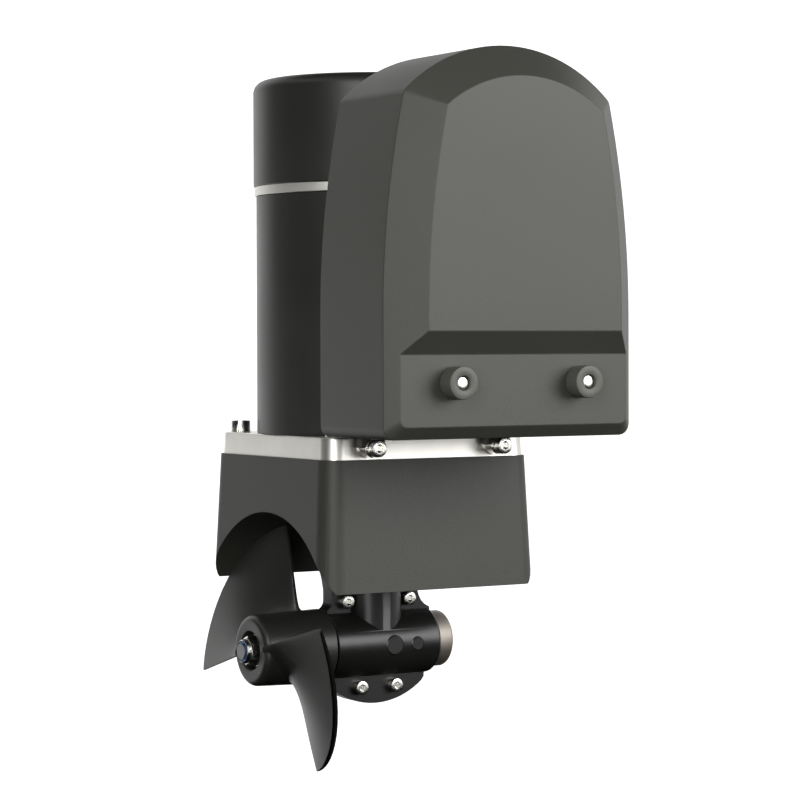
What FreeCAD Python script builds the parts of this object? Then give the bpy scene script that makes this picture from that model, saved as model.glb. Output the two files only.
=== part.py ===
import FreeCAD, Part
import math
import os
from FreeCAD import Vector as V

# Tunnel bow thruster in millimetres.  The origin is where the upright drive shaft's axis crosses the
# tunnel's axis: +X runs along the tunnel away from the propeller, -Y faces the control cover and +Z
# runs up the motor.  The leg hangs inside the tunnel and the saddle sits on the outside of its wall.

# ---- driving dimensions -------------------------------------------------------------------------
# tunnel that the thruster is clamped to
TUNNEL_BORE_D = 127.0
TUNNEL_WALL = 5.0
GASKET_T = 1.0

# propeller and its hub
TIP_GAP = 1.1              # blade tip to tunnel bore
BLADE_COUNT = 2
BLADE_PITCH = 95.0         # advance for one turn
BLADE_ROOT_LEAD_X = -68.4  # leading edge of the blade at the hub
BLADE_RAKE = 4.0           # tips lie this much nearer the leg than the roots
BLADE_LEAD_DEG = -15.0     # leading edge, measured about X from +Y towards +Z
BLADE_ROOT_TRAIL_DEG = 88.0
BLADE_TIP_TRAIL_DEG = 75.5
BLADE_ROOT_T = 5.0
BLADE_TIP_T = 3.0
BLADE_EDGE_T = 1.3
HUB_REAR_R = 18.8
HUB_FRONT_R = 17.6
HUB_NOSE_X = -70.0
HUB_REAR_X = -30.0
HUB_NOSE_ROUND = 3.5
NUT_RECESS_R = 9.8
NUT_RECESS_DEPTH = 5.0

# leg
LEG_BARREL_R = 17.0
LEG_BARREL_X0 = -28.5
LEG_BARREL_X1 = 32.0
LEG_COLUMN_R = 15.3
LEG_COLLAR_R = 27.0
LEG_COLLAR_Z = 48.0        # where the flare from the column reaches the collar
LEG_FLARE_Z = 36.0         # where the flare starts
LEG_SPIGOT_R = 17.0
LEG_SPIGOT_TOP = 76.0
LEG_FLANGE_T = 9.2         # thickness of the split flange, both halves together
LEG_FLANGE_X0 = -25.6
LEG_FLANGE_X1 = 28.0
LEG_FLANGE_FOOT_Z = 20.5
SKEG_R = 42.1
SKEG_CENTRE_Z = 11.7
SKEG_HALF_X = 28.6
LEG_SCREW_R = 2.0
LEG_SCREW_HEAD_R = 3.5
LEG_SCREW_HEAD_H = 4.0
LEG_NUT_AF = 7.0
LEG_NUT_H = 3.2
LEG_TOP_SCREW_X = 18.2
LEG_TOP_SCREW_Z = 22.1
LEG_LOW_SCREW_X = 10.2
LEG_LOW_SCREW_Z = -21.8
FILL_PLUG_R = 5.0
FILL_PLUG_X = 4.0
VENT_PLUG_R = 3.6
VENT_PLUG_X = 17.4
PLUG_PROUD = 0.25
GEAR_CHAMBER_R = 14.2
ANODE_R = 14.3
ANODE_T = 9.0
ANODE_SCREW_R = 2.5
ANODE_SCREW_HEAD_R = 4.25
LEG_BOLT_R = 2.5
LEG_BOLT_HEAD_R = 4.25
LEG_BOLT_CIRCLE_R = 23.0
LEG_BOLT_END_Z = 51.0

# shafts, bearings, seals and gears
SHAFT_R = 5.0
SHAFT_STUB_R = 3.5
BEARING_BIG_R = 13.0
BEARING_BIG_W = 8.0
BEARING_SMALL_R = 11.0
BEARING_SMALL_W = 6.0
SEAL_T = 4.6
RUN_GAP = 0.03             # running clearance of a shaft in a ring
SEAT_GAP = 0.02            # clearance of a part in its seat
GEAR_MODULE = 1.25
CROWN_TEETH = 20
PINION_TEETH = 12
GEAR_FACE = 4.5
GEAR_BACKLASH = 0.5
PROP_BEARING_X = -15.6     # inner face of the bearing by the propeller
REAR_BEARING_X = 13.0
LOWER_BEARING_Z = 17.6
UPPER_BEARING_Z = 50.0
DRIVE_SEAL_Z = 58.0
PIN_R = 2.0
PIN_X = -33.2
PIN_LENGTH = 24.0
PROP_THREAD_R = 4.0
PROP_NUT_AF = 13.0
PROP_NUT_H = 6.0
PROP_NUT_RING_H = 2.2
PROP_NUT_RING_R = 5.4
WASHER_T = 1.2
WASHER_R = 8.4

# saddle and motor plate
SADDLE_TOP_Z = 96.1
SADDLE_LEDGE = 1.9         # saddle's top stands out this far around the plate
SADDLE_DRAFT = 2.9         # foot stands out this far around the top
SADDLE_FOOT_Z = 33.8       # level at which the foot half width holds
SADDLE_CORNER_R = 10.0
SADDLE_TIP_R = 5.0         # lower corners of the walls that stand across the tunnel
PLATE_T = 10.9
PLATE_HALF = 57.0
PLATE_DRAFT = 0.5
PLATE_CORNER_R = 8.5
PLATE_SCREW_INSET = 8.25   # corner screws from the plate's sides
PLATE_SCREW_R = 3.0
PLATE_SCREW_HEAD_R = 5.0
PLATE_SCREW_HEAD_H = 6.0
PLATE_SCREW_END_Z = 74.0
MOTOR_SCREW_CIRCLE_R = 38.0
FOOT_SCREW_X = 36.2
FOOT_SCREW_DROP = 5.2      # below the top of the plate
FOOT_SCREW_R = 2.5
FOOT_SCREW_HEAD_R = 4.25
FOOT_SCREW_HEAD_H = 5.0
FOOT_BOSS_R = 5.0
FOOT_BOSS_T = 1.6
FOOT_WASHER_T = 0.8
FOOT_LUG_T = 5.0
FOOT_SCREW_DEPTH = 16.0

# coupling between the motor and the drive shaft
COUPLING_R = 14.0
COUPLING_HUB_H = 8.0
COUPLING_GAP = 5.0
COUPLING_DRIVE_Z = 77.6
COUPLING_JAWS = 3
COUPLING_JAW_DEG = 44.0

# motor
MOTOR_PROUD = 0.6          # tube's radius over the plate's half width
YOKE_WALL = 6.0
RING_Z = 226.7
RING_T = 4.7
RING_STEP = 0.8            # ring's radius over the tube's
RING_BORE_R = 30.0
CAP_STEP = 1.4             # cap's radius over the tube's
CAP_TOP_Z = 284.6
CAP_WALL = 5.0
CAP_TOP_ROUND = 6.0
SHIELD_T = 12.0
SPIGOT_R = 25.0
SPIGOT_T = 3.0
MOTOR_SHAFT_R = 7.5
MOTOR_STUB_R = 6.0
MOTOR_BEARING_R = 17.5
MOTOR_BEARING_W = 11.0
CORE_GAP = 1.8             # core to the tie bolts
CORE_Z0 = 132.0
CORE_Z1 = 206.0
CORE_SLOTS = 16
SLOT_W = 5.0
SLOT_DEPTH = 9.0
WINDING_H = 11.0
WINDING_BORE_R = 22.0
WINDING_COLLAR_R = 19.0
MAGNET_COUNT = 4
MAGNET_DEG = 68.0
MAGNET_GAP = 1.2
MAGNET_Z0 = 125.0
MAGNET_Z1 = 213.0
COMMUTATOR_R = 20.0
COMMUTATOR_Z0 = 235.0
COMMUTATOR_Z1 = 259.0
COMMUTATOR_BARS = 24
BRUSH_COUNT = 4
BRUSH_W = 9.6
BRUSH_H = 16.0
BRUSH_LENGTH = 17.0
BRUSH_BOX_WALL = 1.2
BRUSH_PLATE_T = 3.0
BRUSH_PLATE_BORE_R = 25.0
BRUSH_BOX_REACH = 22.0     # outer end of a brush box from the commutator's surface
TIE_BOLT_R = 2.5
TIE_BOLT_HEAD_R = 4.25
TIE_BOLT_HEAD_H = 5.0
TIE_BOLT_WALL_GAP = 0.8    # tie bolts to the yoke's bore
TIE_BOLT_COUNT = 4
TIE_COLUMN_R = 6.1         # columns in the cap that the tie bolts pass through

# terminals and straps
STUD_R = 4.0
STUD_ROOT_R = 4.2          # contactor studs through the lid and their nut
STUD_NUT_AF = 13.0
STUD_NUT_H = 6.5
MOTOR_STUD_X = 29.0
MOTOR_STUD_Z = 246.0
STUD_PAD_R = 9.0
STUD_PAD_PROUD = -0.4      # pad's face past the cap's side
INSULATOR_R = 6.4
INSULATOR_T = 1.4
STRAP_W = 14.0
STRAP_T = 2.0

# control base, contactor and module
BASE_BACK_Y = -70.5
BASE_T = 3.0
RIB_W = 8.0
RIB_TOP_Z = 222.0
LUG_W = 13.0
LUG_FOOT_GAP = 0.2         # over the middle of the foot screw
CONTACTOR_HALF_X = 42.0
CONTACTOR_FRONT_GAP = 13.8 # behind the cover's crease
CONTACTOR_Z0 = 170.0
CONTACTOR_LID_Z = 222.0
CONTACTOR_TOP_Z = 233.0
COIL_X = 21.0
COIL_R = 14.2
COIL_BORE_R = 6.4
COIL_H = 31.0
WELL_R = 14.6
WELL_FLOOR = 4.0
PLUNGER_R = 6.0
PLUNGER_TRAVEL = 3.0
BRIDGE_H = 2.0
BRIDGE_W = 7.0
BRIDGE_LENGTH = 24.0
CONTACT_GAP = 0.3          # left between bridge and stud with the plunger fully up
BATTERY_STUD_X = 13.0
STUD_TOP_Z = 252.0
MODULE_HALF_X = 26.0
MODULE_DEPTH = 22.5
MODULE_Z0 = 124.0
MODULE_Z1 = 152.0
SOCKET_R = 7.0
SOCKET_H = 12.0
SOCKET_X = 12.0
WIRE_R = 1.1
WIRE_X = 10.0
POST_R = 5.0
POST_BORE_R = 2.6
POST_BORE_DEPTH = 14.0

# cover
COVER_BACK_Y = -69.75
COVER_FRONT_Y = -142.5
COVER_NOSE_DEPTH = 15.2    # from the crease to the front face
COVER_LEDGE_DEPTH = 9.5    # from the front face back to the face that the knobs sit on
COVER_LEDGE_TOP_Z = 157.8
COVER_LEDGE_FOOT_Z = 147.2
COVER_BOTTOM_Z = 108.0
COVER_HALF_X = 69.0
COVER_SIDE_Z = 165.0       # upright side ends here and the lean begins
COVER_SHOULDER_X = 57.5
COVER_SHOULDER_Z = 267.5
COVER_APEX_Z = 291.0
COVER_FOOT_R = 5.5
COVER_SHOULDER_R = 6.0
COVER_BEVEL_RISE = 1.0     # climb of the bevel under the front for each mm of its depth
COVER_WALL = 3.0
COVER_FIT = 0.35           # cover's wall to the edge of the control base
CABLE_SLOT_HALF_X = 34.0
CABLE_SLOT_Y0 = -124.0
CABLE_SLOT_Y1 = -76.0
KNOB_X = 35.0
KNOB_Z = 134.0
KNOB_R = 7.7
KNOB_LENGTH = 9.0
KNOB_RECESS_R = 3.5
KNOB_RECESS = 2.4
KNOB_SCREW_R = 2.5
KNOB_SCREW_HEAD_R = 3.0
KNOB_SCREW_REACH = 8.0     # into the post
KNOB_SEAL_R = 6.0
KNOB_SEAL_T = 0.8
KNOB_HOLE_R = 3.0

# ---- levels and places that follow from them ----------------------------------------------------
SADDLE_TOP_HALF = PLATE_HALF + SADDLE_LEDGE
SADDLE_FOOT_HALF = SADDLE_TOP_HALF + SADDLE_DRAFT
PLATE_FOOT_HALF = PLATE_HALF + PLATE_DRAFT
PLATE_SCREW_XY = PLATE_HALF - PLATE_SCREW_INSET
MOTOR_R = PLATE_HALF + MOTOR_PROUD
RING_R = MOTOR_R + RING_STEP
CAP_R = MOTOR_R + CAP_STEP
STUD_PAD_Y = -CAP_R - STUD_PAD_PROUD
COVER_CREASE_Y = COVER_FRONT_Y + COVER_NOSE_DEPTH
COVER_LEDGE_Y = COVER_FRONT_Y + COVER_LEDGE_DEPTH
TUNNEL_R = TUNNEL_BORE_D / 2
SEAT_R = TUNNEL_R + TUNNEL_WALL
COLLAR_TOP_R = TUNNEL_R - GASKET_T
BLADE_TIP_R = TUNNEL_R - TIP_GAP
PLATE_TOP_Z = SADDLE_TOP_Z + PLATE_T
YOKE_BORE_R = MOTOR_R - YOKE_WALL
TIE_BOLT_CIRCLE_R = YOKE_BORE_R - TIE_BOLT_WALL_GAP - TIE_BOLT_R
CORE_R = TIE_BOLT_CIRCLE_R - TIE_BOLT_R - CORE_GAP
CAP_Z = RING_Z + RING_T
BASE_FRONT_Y = BASE_BACK_Y - BASE_T
BASE_INSET = COVER_WALL + COVER_FIT
CONTACTOR_DEPTH = BASE_FRONT_Y - COVER_CREASE_Y - CONTACTOR_FRONT_GAP
CONTACTOR_MID_Y = BASE_FRONT_Y - CONTACTOR_DEPTH / 2
COUPLING_MOTOR_Z = COUPLING_DRIVE_Z + COUPLING_HUB_H + COUPLING_GAP
SPIDER_GAP = 0.4
BIG = 400.0


# ---- helpers ------------------------------------------------------------------------------------
def box(x0, x1, y0, y1, z0, z1):
    return Part.makeBox(x1 - x0, y1 - y0, z1 - z0, V(x0, y0, z0))


def rod(radius, start, end):
    """Cylinder between the centres of its two ends."""
    a, b = V(*start), V(*end)
    return Part.makeCylinder(radius, (b - a).Length, a, b - a)


def ring(outer, inner, start, end):
    return rod(outer, start, end).cut(rod(inner, start, end))


def hexagon(across_flats, start, end, bore=0.0):
    """Hexagonal prism between two centres, with a round bore where one is asked for."""
    a, b = V(*start), V(*end)
    axis = (b - a)
    turn = FreeCAD.Rotation(V(0, 0, 1), axis)
    radius = across_flats / math.sqrt(3)
    corners = [a + turn.multVec(V(radius * math.cos(math.radians(60 * i)), radius * math.sin(math.radians(60 * i)), 0))
               for i in range(7)]
    prism = Part.Face(Part.makePolygon(corners)).extrude(axis)
    return prism.cut(rod(bore, start, end)) if bore else prism


def socket_screw(radius, head_radius, head_height, head_top, direction, length, key):
    """Cap screw: head_top is the centre of the head's outer face, direction points along the shank."""
    d = V(*direction)
    top = V(*head_top)
    seat = top + d * head_height
    end = seat + d * length
    head = rod(head_radius, top, seat)
    head = chamfer_end(head, top, head_height * 0.08)
    shank = rod(radius, seat, end)
    hollow = hexagon(key, top, top + d * head_height * 0.55)
    return head.fuse(shank).cut(hollow).removeSplitter()


def chamfer_end(solid, centre, size):
    """Chamfer the round edge whose plane holds the given centre."""
    edges = [e for e in solid.Edges if e.Curve.TypeId == "Part::GeomCircle" and (e.Curve.Center - centre).Length < 1e-6]
    return solid.makeChamfer(size, edges[:1])


def rounded_square(half, corner, z):
    """Closed wire of a square with round corners, in the level plane z."""
    s = half - corner
    k = corner * math.sqrt(0.5)
    edges = []
    spots = ((1, 1), (-1, 1), (-1, -1), (1, -1))
    for i, (sx, sy) in enumerate(spots):
        mid = V(sx * (s + k), sy * (s + k), z)
        along_y = V(sx * half, sy * s, z)
        along_x = V(sx * s, sy * half, z)
        first, last = (along_y, along_x) if i % 2 == 0 else (along_x, along_y)
        edges.append(Part.Arc(first, mid, last).toShape())
        nx, ny = spots[(i + 1) % 4]
        following = V(nx * s, ny * half, z) if i % 2 == 0 else V(nx * half, ny * s, z)
        edges.append(Part.makeLine(last, following))
    return Part.Wire(edges)


def around(count, shape, start_deg=0.0, axis=(0, 0, 1)):
    """Copies of a shape, evenly spaced about an axis through the origin."""
    copies = []
    for i in range(count):
        copy = shape.copy()
        copy.rotate(V(0, 0, 0), V(*axis), start_deg + 360.0 * i / count)
        copies.append(copy)
    return copies


def mirrored_x(shape):
    return shape.mirror(V(0, 0, 0), V(1, 0, 0))


def cut_all(solid, tools):
    for tool in tools:
        solid = solid.cut(tool)
    return solid


def save(name, *solids):
    shape = solids[0] if len(solids) == 1 else Part.makeCompound(list(solids))
    shape.exportStep("parts/%s.step" % name)


def bearing(start, end, bore, outer, balls=7):
    """Ball bearing as outer ring, inner ring and loose balls."""
    a, b = V(*start), V(*end)
    axis = (b - a).normalize()
    gap = (outer - bore) * 0.42
    land = (outer - bore - gap) / 2
    outer_ring = ring(outer, outer - land, start, end)
    inner_ring = ring(bore + land, bore, start, end)
    mid = V(*start) + (V(*end) - V(*start)) * 0.5
    pitch_r = (outer + bore) / 2
    side = axis.cross(V(0, 1, 0)) if abs(axis.y) < 0.9 else axis.cross(V(1, 0, 0))
    ball_r = gap / 2 - RUN_GAP
    solids = [outer_ring, inner_ring]
    for i in range(balls):
        turn = FreeCAD.Rotation(axis, 360.0 * i / balls)
        solids.append(Part.makeSphere(ball_r, mid + turn.multVec(side * pitch_r)))
    return solids


# ---- bevel gears --------------------------------------------------------------------------------
def bevel_gear(teeth, mate_teeth, back, bore):
    """Straight bevel gear on +Z with its cone's apex at the origin; the first tooth lies over +X.

    back is how far the gear's body reaches behind the big end of its teeth."""
    pitch_r = GEAR_MODULE * teeth / 2
    distance = GEAR_MODULE * mate_teeth / 2
    slant = math.hypot(pitch_r, distance)
    lean = math.atan2(pitch_r, distance)
    addendum = 0.85 * GEAR_MODULE
    dedendum = 1.1 * GEAR_MODULE
    small = (slant - GEAR_FACE) / slant
    half_tooth = math.pi * GEAR_MODULE / 4 - GEAR_BACKLASH / 4
    flank = math.tan(math.radians(20))

    def spot(height, side, scale):
        radial = (pitch_r + height * math.cos(lean)) * scale
        axial = (distance - height * math.sin(lean)) * scale
        turn = side / pitch_r
        return V(radial * math.cos(turn), radial * math.sin(turn), axial)

    def section(scale):
        root, tip = -dedendum * 1.15, addendum
        wide, narrow = half_tooth - root * flank, half_tooth - tip * flank
        points = [spot(root, -wide, scale), spot(tip, -narrow, scale), spot(tip, narrow, scale),
                  spot(root, wide, scale)]
        return Part.makePolygon(points + points[:1])

    tooth = Part.makeLoft([section(1.0), section(small)], True, True)
    root_big = spot(-dedendum, 0, 1.0)
    root_small = spot(-dedendum, 0, small)
    profile = [V(bore, 0, root_small.z), V(root_small.x, 0, root_small.z), V(root_big.x, 0, root_big.z),
               V(root_big.x - 0.6, 0, root_big.z + back), V(bore, 0, root_big.z + back)]
    body = Part.Face(Part.makePolygon(profile + profile[:1])).revolve(V(0, 0, 0), V(0, 0, 1), 360)
    gear = body.multiFuse(around(teeth, tooth))
    return gear.removeSplitter()


def make_gears():
    crown = bevel_gear(CROWN_TEETH, PINION_TEETH, 2.2, SHAFT_R + SEAT_GAP)
    pitch_deg = 360.0 / CROWN_TEETH
    crown.rotate(V(0, 0, 0), V(0, 0, 1), pitch_deg / 2)     # a space, not a tooth, faces the pinion
    crown.rotate(V(0, 0, 0), V(0, 1, 0), -90)
    hub_start = crown.BoundBox.XMin
    hub = ring(8.0, SHAFT_R + SEAT_GAP, (hub_start + 0.5, 0, 0), (PROP_BEARING_X + 0.2, 0, 0))
    crown = crown.fuse(hub).removeSplitter()
    pinion = bevel_gear(PINION_TEETH, CROWN_TEETH, 1.6, SHAFT_STUB_R + SEAT_GAP)
    pinion.rotate(V(0, 0, 0), V(0, 0, 1), 180)              # its first tooth faces the crown gear
    return crown, pinion


# ---- propeller ----------------------------------------------------------------------------------
def hub_radius(x):
    share = (x - HUB_REAR_X) / (HUB_NOSE_X - HUB_REAR_X)
    return HUB_REAR_R + (HUB_FRONT_R - HUB_REAR_R) * share


def trailing_deg(radius):
    """Trailing edge: swept forward quickly off the hub, then nearly straight to the tip."""
    share = (radius - HUB_REAR_R) / (BLADE_TIP_R - HUB_REAR_R)
    share = max(0.0, share)
    return BLADE_ROOT_TRAIL_DEG + (BLADE_TIP_TRAIL_DEG - BLADE_ROOT_TRAIL_DEG) * share ** 0.45


def make_blade():
    """One blade: a helical sheet with an aerofoil-like thickness, trimmed at the tip circle."""
    root_r = HUB_FRONT_R - 4.0
    over_tip = BLADE_TIP_R + 2.5
    radii = [root_r + (over_tip - root_r) * i / 6 for i in range(7)]
    chord = [i / 10 for i in range(11)]
    front, rear = [], []
    for radius in radii:
        share = (radius - HUB_REAR_R) / (BLADE_TIP_R - HUB_REAR_R)
        thick = BLADE_ROOT_T + (BLADE_TIP_T - BLADE_ROOT_T) * max(0.0, share)
        end_deg = trailing_deg(radius)
        front_row, rear_row = [], []
        for c in chord:
            deg = BLADE_LEAD_DEG + (end_deg - BLADE_LEAD_DEG) * c
            mid_x = BLADE_ROOT_LEAD_X + BLADE_RAKE * share + BLADE_PITCH * (deg - BLADE_LEAD_DEG) / 360
            half = (BLADE_EDGE_T + (thick - BLADE_EDGE_T) * math.sqrt(max(0.0, 4 * c * (1 - c)))) / 2
            y = radius * math.cos(math.radians(deg))
            z = radius * math.sin(math.radians(deg))
            front_row.append(V(mid_x - half, y, z))
            rear_row.append(V(mid_x + half, y, z))
        front.append(front_row)
        rear.append(rear_row)

    def skin(rows):
        surface = Part.BSplineSurface()
        surface.interpolate(rows)
        return surface

    def borders(surface):
        u0, u1, v0, v1 = surface.bounds()
        return [surface.uIso(u0), surface.uIso(u1), surface.vIso(v0), surface.vIso(v1)]

    front_skin, rear_skin = skin(front), skin(rear)
    faces = [front_skin.toShape(), rear_skin.toShape()]
    for first, second in zip(borders(front_skin), borders(rear_skin)):
        faces.append(Part.makeRuledSurface(first.toShape(), second.toShape()))
    shell = Part.makeShell(faces)
    shell.sewShape()
    blade = Part.makeSolid(shell)
    if blade.Volume < 0:
        blade.reverse()
    tip = rod(BLADE_TIP_R, (HUB_NOSE_X - 20, 0, 0), (HUB_REAR_X + 20, 0, 0))
    return blade.common(tip)


def make_propeller():
    profile = [V(HUB_REAR_X, 0, 0), V(HUB_REAR_X, 0, HUB_REAR_R), V(HUB_NOSE_X, 0, HUB_FRONT_R), V(HUB_NOSE_X, 0, 0)]
    hub = Part.Face(Part.makePolygon(profile + profile[:1])).revolve(V(0, 0, 0), V(1, 0, 0), 360)
    nose = [e for e in hub.Edges if e.Curve.TypeId == "Part::GeomCircle" and abs(e.Curve.Center.x - HUB_NOSE_X) < 1e-6]
    hub = hub.makeFillet(HUB_NOSE_ROUND, nose[:1])
    tail = [e for e in hub.Edges if e.Curve.TypeId == "Part::GeomCircle" and abs(e.Curve.Center.x - HUB_REAR_X) < 1e-6]
    hub = hub.makeFillet(1.0, tail[:1])
    blades = around(BLADE_COUNT, make_blade(), 0.0, (1, 0, 0))
    prop = hub.multiFuse(blades)
    seat_x = HUB_NOSE_X + NUT_RECESS_DEPTH
    tools = [rod(NUT_RECESS_R, (HUB_NOSE_X - 1, 0, 0), (seat_x, 0, 0)),
             rod(SHAFT_R + SEAT_GAP, (HUB_NOSE_X - 1, 0, 0), (HUB_REAR_X + 1, 0, 0)),
             box(PIN_X - PIN_R - SEAT_GAP, HUB_REAR_X + 1, -PIN_R - SEAT_GAP, PIN_R + SEAT_GAP,
                 -PIN_LENGTH / 2 - 0.5, PIN_LENGTH / 2 + 0.5)]
    return cut_all(prop, tools)


def build_propeller_end():
    save("propeller", make_propeller())
    seat_x = HUB_NOSE_X + NUT_RECESS_DEPTH
    nut_x = seat_x - WASHER_T
    collar_x = nut_x - PROP_NUT_H
    end_x = collar_x - PROP_NUT_RING_H
    save("prop_washer", ring(WASHER_R, PROP_THREAD_R + RUN_GAP, (seat_x, 0, 0), (nut_x, 0, 0)))
    body = hexagon(PROP_NUT_AF, (nut_x, 0, 0), (collar_x, 0, 0))
    bevel = Part.makeCone(PROP_NUT_AF / 2 - 0.3, PROP_NUT_AF / 2 + 5.7, 6.0, V(collar_x, 0, 0), V(1, 0, 0))
    body = body.common(bevel)
    collar = rod(PROP_NUT_RING_R + 0.7, (collar_x + 0.2, 0, 0), (end_x, 0, 0))
    steel = body.fuse(collar).cut(rod(PROP_THREAD_R + RUN_GAP, (end_x - 1, 0, 0), (nut_x + 1, 0, 0)))
    pocket = rod(PROP_NUT_RING_R, (end_x - 1, 0, 0), (collar_x + 0.6, 0, 0))
    nylon = ring(PROP_NUT_RING_R, PROP_THREAD_R + RUN_GAP, (end_x, 0, 0), (collar_x + 0.6, 0, 0))
    save("prop_nut", steel.cut(pocket), nylon)
    shaft = rod(SHAFT_R, (seat_x - 0.0, 0, 0), (REAR_BEARING_X + BEARING_BIG_W + 1.0, 0, 0))
    thread = rod(PROP_THREAD_R, (end_x - 0.8, 0, 0), (seat_x, 0, 0))
    shaft = shaft.fuse(thread).cut(rod(PIN_R + SEAT_GAP, (PIN_X, 0, -BIG / 2), (PIN_X, 0, BIG / 2)))
    save("prop_shaft", shaft)
    save("drive_pin", rod(PIN_R, (PIN_X, 0, -PIN_LENGTH / 2), (PIN_X, 0, PIN_LENGTH / 2)))


# ---- leg ----------------------------------------------------------------------------------------
def leg_outer():
    barrel = rod(LEG_BARREL_R, (LEG_BARREL_X0, 0, 0), (LEG_BARREL_X1, 0, 0))
    end = [e for e in barrel.Edges if e.Curve.TypeId == "Part::GeomCircle"
           and abs(e.Curve.Center.x - LEG_BARREL_X1) < 1e-6]
    barrel = barrel.makeFillet(1.8, end)
    column = rod(LEG_COLUMN_R, (0, 0, 0), (0, 0, LEG_FLARE_Z))
    flare = Part.makeCone(LEG_COLUMN_R, LEG_COLLAR_R, LEG_COLLAR_Z - LEG_FLARE_Z, V(0, 0, LEG_FLARE_Z))
    collar = rod(LEG_COLLAR_R, (0, 0, LEG_COLLAR_Z), (0, 0, COLLAR_TOP_R + 5))
    collar = collar.common(rod(COLLAR_TOP_R, (-BIG, 0, 0), (BIG, 0, 0)))
    spigot = rod(LEG_SPIGOT_R, (0, 0, LEG_COLLAR_Z), (0, 0, LEG_SPIGOT_TOP))
    half = LEG_FLANGE_T / 2
    x0, x1, foot = LEG_FLANGE_X0, LEG_FLANGE_X1, LEG_FLANGE_FOOT_Z
    bend = 5.0
    k = bend * (1 - math.sqrt(0.5))
    outline = [
        Part.makeLine(V(x1 + bend, -half, foot - bend), V(x0 - bend + 2, -half, foot - bend)),
        Part.makeLine(V(x0 - bend + 2, -half, foot - bend), V(x0 - bend + 2, -half, foot - bend + 1)),
        Part.Arc(V(x0 - bend + 2, -half, foot - bend + 1), V(x0 - k, -half, foot - k), V(x0, -half, foot + 2)).toShape(),
        Part.makeLine(V(x0, -half, foot + 2), V(x0, -half, foot + 7)),
        Part.makeLine(V(x0, -half, foot + 7), V(x0 - 2.6, -half, LEG_COLLAR_Z)),
        Part.makeLine(V(x0 - 2.6, -half, LEG_COLLAR_Z), V(x1, -half, LEG_COLLAR_Z)),
        Part.makeLine(V(x1, -half, LEG_COLLAR_Z), V(x1, -half, foot + 4)),
        Part.Arc(V(x1, -half, foot + 4), V(x1 + k, -half, foot + k), V(x1 + bend - 1.2, -half, foot - bend + 2.4)).toShape(),
        Part.makeLine(V(x1 + bend - 1.2, -half, foot - bend + 2.4), V(x1 + bend, -half, foot - bend)),
    ]
    flange = Part.Face(Part.Wire(outline)).extrude(V(0, LEG_FLANGE_T, 0))
    flange = flange.common(box(LEG_BARREL_X0, LEG_BARREL_X1, -half, half, 0, LEG_COLLAR_Z))
    skeg = rod(SKEG_R, (0, -half, SKEG_CENTRE_Z), (0, half, SKEG_CENTRE_Z))
    skeg = skeg.common(box(-SKEG_HALF_X + 1, SKEG_HALF_X, -half, half, -SKEG_R, -8))
    rib_z = LEG_TOP_SCREW_Z
    ribs = [box(LEG_FLANGE_X0, -LEG_TOP_SCREW_X, -half - 1.6, half + 1.6, rib_z - 1.4, rib_z + 1.4),
            box(LEG_TOP_SCREW_X, LEG_FLANGE_X1, -half - 1.6, half + 1.6, rib_z - 1.4, rib_z + 1.4)]
    return barrel.multiFuse([column, flare, collar, spigot, flange, skeg] + ribs)


def leg_hollow():
    """All the seats inside the leg, as one list of cutting solids."""
    big, small, gap = BEARING_BIG_R + SEAT_GAP, BEARING_SMALL_R + SEAT_GAP, SEAT_GAP
    drive_top = UPPER_BEARING_Z + BEARING_SMALL_W
    return [
        rod(GEAR_CHAMBER_R, (PROP_BEARING_X, 0, 0), (REAR_BEARING_X, 0, 0)),
        rod(big, (LEG_BARREL_X0 - 1, 0, 0), (PROP_BEARING_X, 0, 0)),
        rod(big, (REAR_BEARING_X, 0, 0), (REAR_BEARING_X + BEARING_BIG_W + gap, 0, 0)),
        rod(SHAFT_R + 2.0, (REAR_BEARING_X, 0, 0), (REAR_BEARING_X + BEARING_BIG_W + 2.0, 0, 0)),
        rod(10.6, (0, 0, 0), (0, 0, LOWER_BEARING_Z)),
        rod(small, (0, 0, LOWER_BEARING_Z), (0, 0, LOWER_BEARING_Z + BEARING_SMALL_W + gap)),
        rod(SHAFT_R + 2.0, (0, 0, 0), (0, 0, UPPER_BEARING_Z + 1)),
        rod(small, (0, 0, UPPER_BEARING_Z), (0, 0, LEG_SPIGOT_TOP + 1)),
        rod(small, (0, 0, drive_top), (0, 0, LEG_SPIGOT_TOP + 1)),
    ]


def leg_screw_spots():
    return [(LEG_TOP_SCREW_X, LEG_TOP_SCREW_Z), (-LEG_TOP_SCREW_X, LEG_TOP_SCREW_Z),
            (LEG_LOW_SCREW_X, LEG_LOW_SCREW_Z), (-LEG_LOW_SCREW_X, LEG_LOW_SCREW_Z)]


def leg_bolt_spots():
    d = LEG_BOLT_CIRCLE_R * math.sqrt(0.5)
    return [(d, d), (-d, d), (-d, -d), (d, -d)]


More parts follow.
